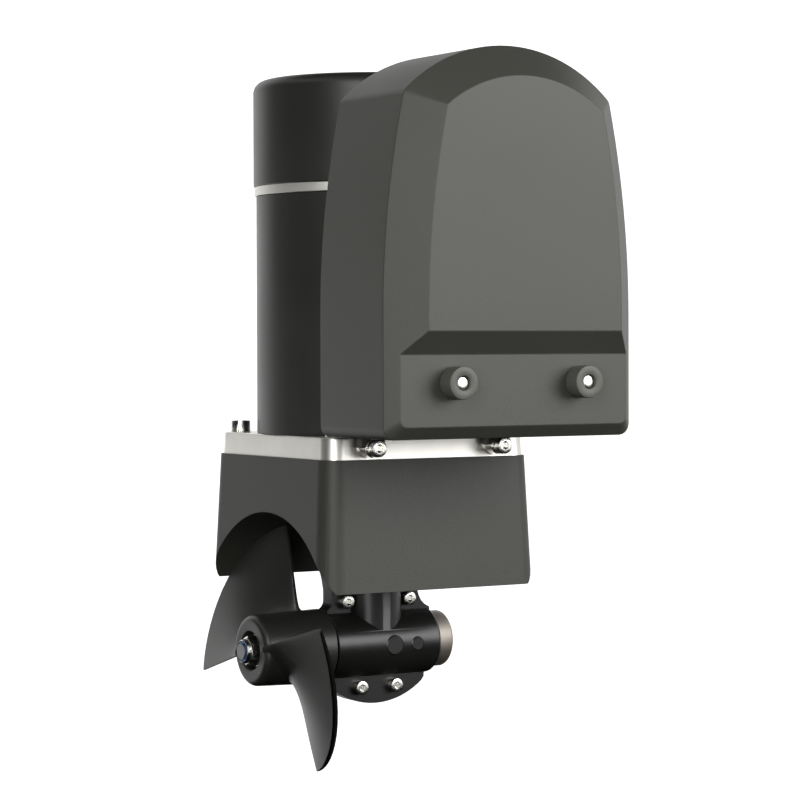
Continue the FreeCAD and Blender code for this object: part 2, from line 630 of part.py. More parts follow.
def build_leg():
    leg = leg_outer()
    half = LEG_FLANGE_T / 2
    bosses = []
    for x, z in leg_screw_spots():
        bosses.append(rod(LEG_SCREW_HEAD_R + 0.9, (x, -half, z), (x, half, z)))
    leg = leg.multiFuse(bosses).removeSplitter()
    tools = leg_hollow()
    for x, z in leg_screw_spots():
        tools.append(rod(LEG_SCREW_R + SEAT_GAP, (x, -BIG / 2, z), (x, BIG / 2, z)))
        tools.append(rod(LEG_SCREW_HEAD_R + 0.5, (x, -BIG / 2, z), (x, -half, z)))
        tools.append(rod(LEG_NUT_AF / 2 + 1.2, (x, half, z), (x, BIG / 2, z)))
    for x, y in leg_bolt_spots():
        tools.append(rod(LEG_BOLT_R + SEAT_GAP, (x, y, LEG_BOLT_END_Z - 0.3), (x, y, COLLAR_TOP_R + 5)))
    for x, radius in ((FILL_PLUG_X, FILL_PLUG_R), (VENT_PLUG_X, VENT_PLUG_R)):
        tools.append(rod(radius + SEAT_GAP, (x, -LEG_BARREL_R - 3, 0), (x, -GEAR_CHAMBER_R - 0.2, 0)))
    tools.append(rod(ANODE_SCREW_R + SEAT_GAP, (LEG_BARREL_X1 - 7.6, 0, 0), (LEG_BARREL_X1 + 1, 0, 0)))
    leg = cut_all(leg, tools)
    save("leg_front_half", leg.common(box(-BIG, BIG, -BIG, 0, -BIG, BIG)))
    save("leg_back_half", leg.common(box(-BIG, BIG, 0, BIG, -BIG, BIG)))

    screws, nuts = [], []
    for x, z in leg_screw_spots():
        top = (x, -half - LEG_SCREW_HEAD_H, z)
        screws.append(socket_screw(LEG_SCREW_R, LEG_SCREW_HEAD_R, LEG_SCREW_HEAD_H, top, (0, 1, 0),
                                   LEG_FLANGE_T + LEG_NUT_H + 1.0, 3.0))
        nuts.append(hexagon(LEG_NUT_AF, (x, half, z), (x, half + LEG_NUT_H, z), LEG_SCREW_R + SEAT_GAP))
    save("leg_screws", *screws)
    save("leg_nuts", *nuts)

    plugs = []
    for x, radius in ((FILL_PLUG_X, FILL_PLUG_R), (VENT_PLUG_X, VENT_PLUG_R)):
        plug = rod(radius, (x, -LEG_BARREL_R - PLUG_PROUD, 0), (x, -GEAR_CHAMBER_R - 0.3, 0))
        plugs.append(chamfer_end(plug, V(x, -LEG_BARREL_R - PLUG_PROUD, 0), 0.4))
    save("oil_plugs", *plugs)

    gasket = ring(LEG_COLLAR_R - 0.4, LEG_SPIGOT_R + SEAT_GAP, (0, 0, COLLAR_TOP_R - 10), (0, 0, TUNNEL_R + 5))
    shell = ring(TUNNEL_R, COLLAR_TOP_R, (-BIG / 2, 0, 0), (BIG / 2, 0, 0))
    gasket = gasket.common(shell).common(box(-BIG, BIG, -BIG, BIG, 0, BIG))
    holes = [rod(LEG_BOLT_R + SEAT_GAP, (x, y, 0), (x, y, BIG)) for x, y in leg_bolt_spots()]
    save("leg_gasket", cut_all(gasket, holes))

    anode = rod(ANODE_R, (LEG_BARREL_X1, 0, 0), (LEG_BARREL_X1 + ANODE_T, 0, 0))
    anode = chamfer_end(anode, V(LEG_BARREL_X1 + ANODE_T, 0, 0), 1.6)
    head_x = LEG_BARREL_X1 + ANODE_T - 0.6
    pocket = rod(ANODE_SCREW_HEAD_R + 0.4, (head_x - 5.2, 0, 0), (head_x + 5, 0, 0))
    anode = anode.cut(pocket).cut(rod(ANODE_SCREW_R + SEAT_GAP, (0, 0, 0), (BIG, 0, 0)))
    save("anode", anode)
    save("anode_screw", socket_screw(ANODE_SCREW_R, ANODE_SCREW_HEAD_R, 5.0, (head_x - 0.2, 0, 0), (-1, 0, 0),
                                     head_x - 5.2 - LEG_BARREL_X1 + 7.0, 4.0))


def build_drive_train():
    crown, pinion = make_gears()
    save("crown_gear", crown)
    save("drive_pinion", pinion)
    stub_z = pinion.BoundBox.ZMin + 0.4
    shoulder = pinion.BoundBox.ZMax
    shaft = rod(SHAFT_STUB_R, (0, 0, stub_z), (0, 0, shoulder + 0.5))
    shaft = shaft.fuse(rod(SHAFT_R, (0, 0, shoulder), (0, 0, COUPLING_DRIVE_Z + COUPLING_HUB_H)))
    save("drive_shaft", shaft.removeSplitter())
    bore = SHAFT_R + RUN_GAP
    rear_x = REAR_BEARING_X + BEARING_BIG_W
    solids = bearing((PROP_BEARING_X - BEARING_BIG_W, 0, 0), (PROP_BEARING_X, 0, 0), bore, BEARING_BIG_R)
    solids += bearing((REAR_BEARING_X, 0, 0), (rear_x, 0, 0), bore, BEARING_BIG_R)
    for z in (LOWER_BEARING_Z, UPPER_BEARING_Z):
        solids += bearing((0, 0, z), (0, 0, z + BEARING_SMALL_W), bore, BEARING_SMALL_R)
    save("leg_bearings", *solids)
    seal_x = PROP_BEARING_X - BEARING_BIG_W
    prop_seal = ring(BEARING_BIG_R, bore, (seal_x - SEAL_T, 0, 0), (seal_x, 0, 0))
    prop_seal = prop_seal.cut(ring(10.4, 6.6, (seal_x - SEAL_T - 1, 0, 0), (seal_x - SEAL_T + 2.4, 0, 0)))
    drive_seal = ring(BEARING_SMALL_R, bore, (0, 0, DRIVE_SEAL_Z), (0, 0, DRIVE_SEAL_Z + SEAL_T + 2))
    drive_seal = drive_seal.cut(ring(9.0, 6.4, (0, 0, DRIVE_SEAL_Z + 3.4), (0, 0, DRIVE_SEAL_Z + SEAL_T + 3)))
    save("leg_seals", prop_seal, drive_seal)


# ---- saddle and plate ---------------------------------------------------------------------------
def build_saddle():
    slope = (SADDLE_FOOT_HALF - SADDLE_TOP_HALF) / (SADDLE_TOP_Z - SADDLE_FOOT_Z)
    low = SADDLE_FOOT_Z - 2
    block = Part.makeLoft([rounded_square(SADDLE_FOOT_HALF + 2 * slope, SADDLE_CORNER_R + 1.5, low),
                           rounded_square(SADDLE_TOP_HALF, SADDLE_CORNER_R, SADDLE_TOP_Z)], True, True)
    tools = [rod(SEAT_R, (-BIG / 2, 0, 0), (BIG / 2, 0, 0)),
             rod(LEG_SPIGOT_R + 0.2, (0, 0, 0), (0, 0, BIG))]
    for x, y in leg_bolt_spots():
        tools.append(rod(LEG_BOLT_R + 0.2, (x, y, 0), (x, y, BIG)))
        tools.append(rod(LEG_BOLT_HEAD_R + 0.5, (x, y, SADDLE_TOP_Z - 8), (x, y, BIG)))
    for x, y in corner_spots():
        tools.append(rod(PLATE_SCREW_R + SEAT_GAP, (x, y, PLATE_SCREW_END_Z - 0.5), (x, y, BIG)))
    tip_x = SADDLE_FOOT_HALF + 2 * slope - SADDLE_TIP_R * (slope + math.sqrt(1 + slope ** 2))
    tip_z = low + SADDLE_TIP_R
    for sign in (-1, 1):
        near, far = sorted((sign * tip_x, sign * BIG / 2))
        corner = box(near, far, -BIG / 2, BIG / 2, low - 1, tip_z + SADDLE_TIP_R * slope)
        tools.append(corner.cut(rod(SADDLE_TIP_R, (sign * tip_x, -BIG, tip_z), (sign * tip_x, BIG, tip_z))))
    save("saddle", cut_all(block, tools))
    bolts = []
    for x, y in leg_bolt_spots():
        top = SADDLE_TOP_Z - 3.0
        bolts.append(socket_screw(LEG_BOLT_R, LEG_BOLT_HEAD_R, 5.0, (x, y, top), (0, 0, -1),
                                  top - 5.0 - LEG_BOLT_END_Z, 4.0))
    save("leg_bolts", *bolts)


def corner_spots():
    return [(sx * PLATE_SCREW_XY, sy * PLATE_SCREW_XY) for sx, sy in ((1, 1), (-1, 1), (-1, -1), (1, -1))]


def build_plate():
    plate = Part.makeLoft([rounded_square(PLATE_FOOT_HALF, PLATE_CORNER_R, SADDLE_TOP_Z),
                           rounded_square(PLATE_HALF, PLATE_CORNER_R, PLATE_TOP_Z)], True, True)
    rim = [e for e in plate.Edges if abs(e.BoundBox.ZMin - PLATE_TOP_Z) < 1e-6 and abs(e.BoundBox.ZMax - PLATE_TOP_Z) < 1e-6]
    plate = plate.makeFillet(0.8, rim)
    foot_z = PLATE_TOP_Z - FOOT_SCREW_DROP
    bosses = [rod(FOOT_BOSS_R, (x, -PLATE_HALF + 4, foot_z), (x, -PLATE_HALF - FOOT_BOSS_T, foot_z))
              for x in (FOOT_SCREW_X, -FOOT_SCREW_X)]
    plate = plate.multiFuse(bosses)
    tools = [rod(SPIGOT_R + SEAT_GAP, (0, 0, PLATE_TOP_Z - SPIGOT_T - 0.2), (0, 0, BIG)),
             rod(LEG_SPIGOT_R + 1.0, (0, 0, 0), (0, 0, BIG))]
    for x, y in corner_spots():
        tools.append(rod(PLATE_SCREW_R + 0.2, (x, y, 0), (x, y, BIG)))
    for x, y in motor_screw_spots():
        tools.append(rod(PLATE_SCREW_R + 0.2, (x, y, 0), (x, y, BIG)))
        tools.append(rod(PLATE_SCREW_HEAD_R + 0.4, (x, y, 0), (x, y, SADDLE_TOP_Z + PLATE_SCREW_HEAD_H + 0.3)))
    for x in (FOOT_SCREW_X, -FOOT_SCREW_X):
        tools.append(rod(FOOT_SCREW_R + SEAT_GAP, (x, -BIG / 2, foot_z),
                         (x, -PLATE_HALF + FOOT_SCREW_DEPTH + 0.5, foot_z)))
    save("motor_plate", cut_all(plate, tools))

    screws = []
    for x, y in corner_spots():
        top = PLATE_TOP_Z + PLATE_SCREW_HEAD_H
        screws.append(socket_screw(PLATE_SCREW_R, PLATE_SCREW_HEAD_R, PLATE_SCREW_HEAD_H, (x, y, top), (0, 0, -1),
                                   PLATE_TOP_Z - PLATE_SCREW_END_Z, 5.0))
    for x, y in motor_screw_spots():
        screws.append(socket_screw(PLATE_SCREW_R, PLATE_SCREW_HEAD_R, PLATE_SCREW_HEAD_H,
                                   (x, y, SADDLE_TOP_Z + 0.3), (0, 0, 1), 14.0, 5.0))
    save("plate_screws", *screws)

    lug_face = foot_seat_y() - FOOT_LUG_T
    solids = []
    for x in (FOOT_SCREW_X, -FOOT_SCREW_X):
        washer_y = lug_face - FOOT_WASHER_T
        solids.append(ring(FOOT_SCREW_HEAD_R + 0.5, FOOT_SCREW_R + 0.1, (x, washer_y, foot_z), (x, lug_face, foot_z)))
        solids.append(socket_screw(FOOT_SCREW_R, FOOT_SCREW_HEAD_R, FOOT_SCREW_HEAD_H,
                                   (x, washer_y - FOOT_SCREW_HEAD_H, foot_z), (0, 1, 0),
                                   -PLATE_HALF + FOOT_SCREW_DEPTH - washer_y, 4.0))
    save("foot_screws", *solids)


def motor_screw_spots():
    r = MOTOR_SCREW_CIRCLE_R
    return [(r, 0), (0, r), (-r, 0), (0, -r)]


def foot_seat_y():
    return -PLATE_HALF - FOOT_BOSS_T


# ---- coupling -----------------------------------------------------------------------------------
def jaw(z0, z1, inner, deg):
    """One jaw: a sector of a ring, centred on +X."""
    sector = ring(COUPLING_R, inner, (0, 0, z0), (0, 0, z1))
    reach = 2 * COUPLING_R
    a = math.radians(deg / 2)
    wedge = [V(0, 0, z0), V(reach * math.cos(a), reach * math.sin(a), z0), V(reach * math.cos(a), -reach * math.sin(a), z0)]
    return sector.common(Part.Face(Part.makePolygon(wedge + wedge[:1])).extrude(V(0, 0, z1 - z0)))


def build_coupling():
    low, low_top = COUPLING_DRIVE_Z, COUPLING_DRIVE_Z + COUPLING_HUB_H
    high, high_top = COUPLING_MOTOR_Z, COUPLING_MOTOR_Z + COUPLING_HUB_H
    core_r = 7.2
    lower = ring(COUPLING_R, SHAFT_R + SEAT_GAP, (0, 0, low), (0, 0, low_top))
    lower = lower.multiFuse(around(COUPLING_JAWS, jaw(low_top - 0.5, high - SPIDER_GAP, core_r + 0.1, COUPLING_JAW_DEG)))
    upper = ring(COUPLING_R, MOTOR_STUB_R + SEAT_GAP, (0, 0, high), (0, 0, high_top))
    upper = upper.multiFuse(around(COUPLING_JAWS, jaw(low_top + SPIDER_GAP, high + 0.5, core_r + 0.1, COUPLING_JAW_DEG), 60.0))
    save("coupling_drive_hub", lower)
    save("coupling_motor_hub", upper)
    z0, z1 = low_top + SPIDER_GAP, high - SPIDER_GAP
    spider = rod(core_r, (0, 0, z0), (0, 0, z1))
    lobe = jaw(z0, z1, core_r - 1.0, 60.0 - COUPLING_JAW_DEG - 1.0)
    spider = spider.multiFuse(around(2 * COUPLING_JAWS, lobe, 30.0))
    save("coupling_spider", spider)


# ---- motor --------------------------------------------------------------------------------------
def tie_bolt_spots():
    return [(TIE_BOLT_CIRCLE_R * math.cos(math.radians(45 + 360.0 * i / TIE_BOLT_COUNT)),
             TIE_BOLT_CIRCLE_R * math.sin(math.radians(45 + 360.0 * i / TIE_BOLT_COUNT))) for i in range(TIE_BOLT_COUNT)]


def build_motor_frame():
    base = PLATE_TOP_Z
    save("motor_yoke", ring(MOTOR_R, YOKE_BORE_R, (0, 0, base), (0, 0, RING_Z)))
    shield = rod(YOKE_BORE_R - SEAT_GAP, (0, 0, base), (0, 0, base + SHIELD_T))
    shield = shield.fuse(rod(SPIGOT_R, (0, 0, base - SPIGOT_T), (0, 0, base)))
    tools = [rod(MOTOR_BEARING_R + SEAT_GAP, (0, 0, base + SHIELD_T - MOTOR_BEARING_W), (0, 0, BIG)),
             rod(MOTOR_SHAFT_R + 2.0, (0, 0, 0), (0, 0, BIG))]
    for x, y in motor_screw_spots():
        tools.append(rod(PLATE_SCREW_R + SEAT_GAP, (x, y, 0), (x, y, base + SHIELD_T - 1.5)))
    for x, y in tie_bolt_spots():
        tools.append(rod(TIE_BOLT_R + SEAT_GAP, (x, y, base + 1.5), (x, y, BIG)))
    save("motor_end_shield", cut_all(shield, tools))

    magnet = ring(YOKE_BORE_R - SEAT_GAP, CORE_R + MAGNET_GAP, (0, 0, MAGNET_Z0), (0, 0, MAGNET_Z1))
    a = math.radians(MAGNET_DEG / 2)
    reach = 2 * MOTOR_R
    wedge = [V(0, 0, MAGNET_Z0), V(reach * math.cos(a), reach * math.sin(a), MAGNET_Z0),
             V(reach * math.cos(a), -reach * math.sin(a), MAGNET_Z0)]
    magnet = magnet.common(Part.Face(Part.makePolygon(wedge + wedge[:1])).extrude(V(0, 0, MAGNET_Z1 - MAGNET_Z0)))
    save("field_magnets", *around(MAGNET_COUNT, magnet))

    holes = [rod(TIE_BOLT_R + 0.2, (x, y, 0), (x, y, BIG)) for x, y in tie_bolt_spots()]
    end_ring = ring(RING_R, RING_BORE_R, (0, 0, RING_Z), (0, 0, CAP_Z))
    save("motor_end_ring", cut_all(end_ring, holes))

    cap = rod(CAP_R, (0, 0, CAP_Z), (0, 0, CAP_TOP_Z))
    top = [e for e in cap.Edges if e.Curve.TypeId == "Part::GeomCircle" and abs(e.Curve.Center.z - CAP_TOP_Z) < 1e-6]
    cap = cap.makeFillet(CAP_TOP_ROUND, top)
    roof = CAP_TOP_Z - CAP_WALL
    cap = cap.cut(rod(CAP_R - CAP_WALL, (0, 0, CAP_Z - 1), (0, 0, roof)))
    boss = ring(MOTOR_BEARING_R + 5.0, MOTOR_BEARING_R + SEAT_GAP, (0, 0, roof - MOTOR_BEARING_W - 0.5), (0, 0, roof + 0.5))
    columns = [rod(TIE_COLUMN_R, (x, y, CAP_Z), (x, y, roof + 0.5)) for x, y in tie_bolt_spots()]
    pads = [rod(STUD_PAD_R, (x, -CAP_R + 14, MOTOR_STUD_Z), (x, STUD_PAD_Y, MOTOR_STUD_Z))
            for x in (MOTOR_STUD_X, -MOTOR_STUD_X)]
    cap = cap.multiFuse([boss] + columns + pads)
    tools = [rod(TIE_BOLT_R + 0.2, (x, y, 0), (x, y, BIG)) for x, y in tie_bolt_spots()]
    tools += [rod(TIE_BOLT_HEAD_R + 0.5, (x, y, CAP_TOP_Z - TIE_BOLT_HEAD_H - 0.4), (x, y, BIG)) for x, y in tie_bolt_spots()]
    tools += [rod(INSULATOR_R + SEAT_GAP, (x, 0, MOTOR_STUD_Z), (x, -BIG, MOTOR_STUD_Z)) for x in (MOTOR_STUD_X, -MOTOR_STUD_X)]
    save("motor_cap", cut_all(cap, tools).removeSplitter())

    bolts = []
    for x, y in tie_bolt_spots():
        top_z = CAP_TOP_Z - 0.4
        bolts.append(socket_screw(TIE_BOLT_R, TIE_BOLT_HEAD_R, TIE_BOLT_HEAD_H, (x, y, top_z), (0, 0, -1),
                                  top_z - TIE_BOLT_HEAD_H - base - 2.0, 4.0))
    save("motor_tie_bolts", *bolts)

    bore = MOTOR_SHAFT_R + RUN_GAP
    low = base + SHIELD_T - MOTOR_BEARING_W
    solids = bearing((0, 0, low), (0, 0, low + MOTOR_BEARING_W), bore, MOTOR_BEARING_R, 8)
    solids += bearing((0, 0, roof - MOTOR_BEARING_W), (0, 0, roof), bore, MOTOR_BEARING_R, 8)
    save("motor_bearings", *solids)


def build_armature():
    roof = CAP_TOP_Z - CAP_WALL
    shaft = rod(MOTOR_SHAFT_R, (0, 0, PLATE_TOP_Z), (0, 0, roof - 0.5))
    shaft = shaft.fuse(rod(MOTOR_STUB_R, (0, 0, COUPLING_MOTOR_Z), (0, 0, PLATE_TOP_Z)))
    save("armature_shaft", shaft.removeSplitter())
    bore = MOTOR_SHAFT_R + SEAT_GAP
    core = ring(CORE_R, bore, (0, 0, CORE_Z0), (0, 0, CORE_Z1))
    slot = box(CORE_R - SLOT_DEPTH, CORE_R + 1, -SLOT_W / 2, SLOT_W / 2, CORE_Z0 - 1, CORE_Z1 + 1)
    save("armature_core", cut_all(core, around(CORE_SLOTS, slot)))
    bar = box(CORE_R - SLOT_DEPTH + 0.1, CORE_R - 0.8, -SLOT_W / 2 + 0.1, SLOT_W / 2 - 0.1, CORE_Z0 - 0.6, CORE_Z1 + 0.6)
    top = ring(CORE_R - 1.5, WINDING_COLLAR_R - 1.0, (0, 0, CORE_Z1 + 0.1), (0, 0, CORE_Z1 + WINDING_H))
    low = ring(CORE_R - 1.5, WINDING_BORE_R, (0, 0, CORE_Z0 - WINDING_H), (0, 0, CORE_Z0 - 0.1))
    top = top.makeFillet(3.5, [e for e in top.Edges if abs(e.BoundBox.ZMin - CORE_Z1 - WINDING_H) < 1e-6])
    low = low.makeFillet(3.0, [e for e in low.Edges if abs(e.BoundBox.ZMax - CORE_Z0 + WINDING_H) < 1e-6])
    collar = ring(WINDING_COLLAR_R, bore, (0, 0, CORE_Z1 + 0.2), (0, 0, CORE_Z1 + WINDING_H - 1))
    save("armature_windings", top.multiFuse([low, collar] + around(CORE_SLOTS, bar)))
    drum = ring(COMMUTATOR_R, bore, (0, 0, COMMUTATOR_Z0), (0, 0, COMMUTATOR_Z1))
    riser = ring(COMMUTATOR_R + 2.5, bore, (0, 0, COMMUTATOR_Z0 - 4), (0, 0, COMMUTATOR_Z0))
    gap = box(COMMUTATOR_R - 1.5, COMMUTATOR_R + 3, -0.3, 0.3, COMMUTATOR_Z0 - 5, COMMUTATOR_Z1 + 1)
    neck = ring(12.0, bore, (0, 0, CORE_Z1 + WINDING_H - 1), (0, 0, COMMUTATOR_Z0 - 4))
    save("commutator", cut_all(drum.fuse(riser), around(COMMUTATOR_BARS, gap)).fuse(neck))


def build_brush_gear():
    z0 = CAP_Z + BRUSH_PLATE_T
    plate = ring(CAP_R - CAP_WALL - 0.4, BRUSH_PLATE_BORE_R, (0, 0, CAP_Z), (0, 0, z0))
    holes = [rod(TIE_COLUMN_R + 0.3, (x, y, 0), (x, y, BIG)) for x, y in tie_bolt_spots()]
    save("brush_plate", cut_all(plate, holes))
    w, wall = BRUSH_W / 2 + 0.1, BRUSH_BOX_WALL
    low = COMMUTATOR_Z0 + 2.0
    high = low + BRUSH_H
    inner, outer = COMMUTATOR_R + 2.5, COMMUTATOR_R + BRUSH_BOX_REACH
    holder = box(inner, outer, -w - wall, w + wall, z0, high + wall + 0.1)
    holder = holder.cut(box(inner - 1, outer - 1.4, -w, w, low - 0.1, high + 0.1))
    save("brush_holders", *around(BRUSH_COUNT, holder))
    face = COMMUTATOR_R - 1.0
    brush = box(face, face + BRUSH_LENGTH, -BRUSH_W / 2, BRUSH_W / 2, low, high)
    brush = brush.cut(rod(COMMUTATOR_R + 0.08, (0, 0, low - 1), (0, 0, high + 1)))
    save("brushes", *around(BRUSH_COUNT, brush))
    back = face + BRUSH_LENGTH
    mid = (low + high) / 2
    strip = box(back, back + 0.5, -BRUSH_W / 2 + 1, BRUSH_W / 2 - 1, low + 1, high - 1)
    roll = ring(2.2, 1.2, (outer - 3.7, 0, mid - 5), (outer - 3.7, 0, mid + 5))
    arm = box(back + 0.4, outer - 3.7 - 1.3, -0.3, 0.3, mid - 5, mid + 5)
    save("brush_springs", *around(BRUSH_COUNT, strip.multiFuse([arm, roll])))


# ---- terminals ----------------------------------------------------------------------------------
def build_terminals():
    studs, insulators, nuts, straps = [], [], [], []
    z = MOTOR_STUD_Z
    tab_y0 = STUD_PAD_Y - INSULATOR_T
    for x in (MOTOR_STUD_X, -MOTOR_STUD_X):
        inner_y = -CAP_R + 14
        studs.append(rod(STUD_R, (x, inner_y, z), (x, tab_y0 - STRAP_T - STUD_NUT_H - 1.5, z)))
        bush = ring(INSULATOR_R, STUD_R + SEAT_GAP, (x, inner_y + 1, z), (x, STUD_PAD_Y, z))
        flange = ring(STUD_PAD_R - 0.5, STUD_R + SEAT_GAP, (x, STUD_PAD_Y, z), (x, tab_y0, z))
        insulators.append(bush.fuse(flange))
        nuts.append(hexagon(STUD_NUT_AF, (x, tab_y0 - STRAP_T, z), (x, tab_y0 - STRAP_T - STUD_NUT_H, z), STUD_R + SEAT_GAP))
        foot = box(x - STRAP_W / 2, x + STRAP_W / 2, CONTACTOR_MID_Y - STRAP_W / 2, tab_y0,
                   CONTACTOR_TOP_Z, CONTACTOR_TOP_Z + STRAP_T)
        tab = box(x - STRAP_W / 2, x + STRAP_W / 2, tab_y0 - STRAP_T, tab_y0, CONTACTOR_TOP_Z, z + STUD_PAD_R - 1)
        strap = foot.fuse(tab)
        strap = strap.cut(rod(STUD_ROOT_R + 0.2, (x, CONTACTOR_MID_Y, 0), (x, CONTACTOR_MID_Y, BIG)))
        straps.append(strap.cut(rod(STUD_R + 0.2, (x, 0, z), (x, -BIG / 2, z))).removeSplitter())
    contact_z = bridge_rest_z() + BRIDGE_H + PLUNGER_TRAVEL + CONTACT_GAP
    for x in (BATTERY_STUD_X, MOTOR_STUD_X, -BATTERY_STUD_X, -MOTOR_STUD_X):
        seat = CONTACTOR_TOP_Z + (STRAP_T if abs(x) == MOTOR_STUD_X else 0.0)
        nut_top = seat + STUD_NUT_H
        stud = rod(STUD_ROOT_R, (x, CONTACTOR_MID_Y, contact_z), (x, CONTACTOR_MID_Y, nut_top))
        studs.append(stud.fuse(rod(STUD_R, (x, CONTACTOR_MID_Y, nut_top), (x, CONTACTOR_MID_Y, STUD_TOP_Z))))
        nuts.append(hexagon(STUD_NUT_AF, (x, CONTACTOR_MID_Y, seat), (x, CONTACTOR_MID_Y, nut_top),
                            STUD_ROOT_R + SEAT_GAP))
    save("terminal_studs", *studs)
    save("stud_insulators", *insulators)
    save("terminal_nuts", *nuts)
    save("motor_straps", *straps)


# ---- control side -------------------------------------------------------------------------------
def circle_meeting(first, first_r, second, second_r):
    """The upper of the two places where two circles in the XZ plane cross."""
    across, up = second[0] - first[0], second[1] - first[1]
    apart = math.hypot(across, up)
    along = (first_r ** 2 - second_r ** 2 + apart ** 2) / (2 * apart)
    off = math.sqrt(first_r ** 2 - along ** 2)
    mid = (first[0] + along * across / apart, first[1] + along * up / apart)
    options = [(mid[0] + sign * off * up / apart, mid[1] - sign * off * across / apart) for sign in (1, -1)]
    return max(options, key=lambda spot: spot[1])


def arc_between(centre, start, end, y, sign):
    """Arc in the plane y about a centre, the short way from start to end; sign -1 mirrors it in X."""
    first = math.atan2(start[1] - centre[1], start[0] - centre[0])
    last = math.atan2(end[1] - centre[1], end[0] - centre[0])
    radius = math.hypot(start[0] - centre[0], start[1] - centre[1])
    half_way = (first + last) / 2
    mid = (centre[0] + radius * math.cos(half_way), centre[1] + radius * math.sin(half_way))
    return Part.Arc(*[V(sign * x, y, z) for x, z in (start, mid, end)]).toShape()


def reach_from(centre, radius, through):
    """Point at a radius from a centre, on the ray through another point."""
    dx, dz = through[0] - centre[0], through[1] - centre[1]
    length = math.hypot(dx, dz)
    return centre[0] + radius * dx / length, centre[1] + radius * dz / length


def cover_outline(inset, lift, y):
    """Closed wire of the cover's outline in the plane y: moved in by the inset, its floor up by the lift."""
    bottom = COVER_BOTTOM_Z + lift
    half = COVER_HALF_X - inset
    shoulder_x = COVER_SHOULDER_X - 0.93 * inset
    shoulder_z = COVER_SHOULDER_Z - 0.45 * inset
    apex = COVER_APEX_Z - inset
    foot = max(COVER_FOOT_R - inset, 1.2)
    corner = max(COVER_SHOULDER_R - 0.3 * inset, 1.5)
    lean, climb = half - shoulder_x, shoulder_z - COVER_SIDE_Z
    side_r = (lean ** 2 + climb ** 2) / (2 * lean)
    side_centre = (half - side_r, COVER_SIDE_Z)
    rise = apex - shoulder_z
    roof_r = (shoulder_x ** 2 + rise ** 2) / (2 * rise)
    roof_centre = (0.0, apex - roof_r)
    corner_centre = circle_meeting(side_centre, side_r - corner, roof_centre, roof_r - corner)
    side_end = reach_from(side_centre, side_r, corner_centre)
    roof_end = reach_from(roof_centre, roof_r, corner_centre)
    foot_centre = (half - foot, bottom + foot)
    edges = [Part.makeLine(V(-(half - foot), y, bottom), V(half - foot, y, bottom))]
    for sign in (1, -1):
        edges += [
            arc_between(foot_centre, (half - foot, bottom), (half, bottom + foot), y, sign),
            Part.makeLine(V(sign * half, y, bottom + foot), V(sign * half, y, COVER_SIDE_Z)),
            arc_between(side_centre, (half, COVER_SIDE_Z), side_end, y, sign),
            arc_between(corner_centre, side_end, roof_end, y, sign),
            arc_between(roof_centre, roof_end, (0.0, apex), y, sign),
        ]
    return Part.Wire(Part.__sortEdges__(edges))


def cover_body(inset, back_y, crease_y, front_y):
    """The cover's outer or inner form: straight from the back to the crease, then drawn in to the front."""
    straight = Part.Face(cover_outline(inset, inset, back_y)).extrude(V(0, crease_y - back_y, 0))
    depth = crease_y - front_y
    nose = Part.makeLoft([cover_outline(inset, inset, crease_y),
                          cover_outline(inset + depth, inset + depth * COVER_BEVEL_RISE, front_y)], True, True)
    return straight.fuse(nose)


def ledge_tool(lower_y, ramp_top_z, ramp_foot_z, front_y):
    """What the ledge takes out of the cover's front: everything below the ramp, ahead of lower_y."""
    reach = 100.0
    slope = (ramp_top_z - ramp_foot_z) / (lower_y - front_y)
    outer_y = front_y - 10.0
    points = [V(-reach, lower_y, 0), V(-reach, lower_y, ramp_foot_z),
              V(-reach, outer_y, ramp_foot_z + slope * (lower_y - outer_y)), V(-reach, outer_y, 0)]
    return Part.Face(Part.makePolygon(points + points[:1])).extrude(V(2 * reach, 0, 0))


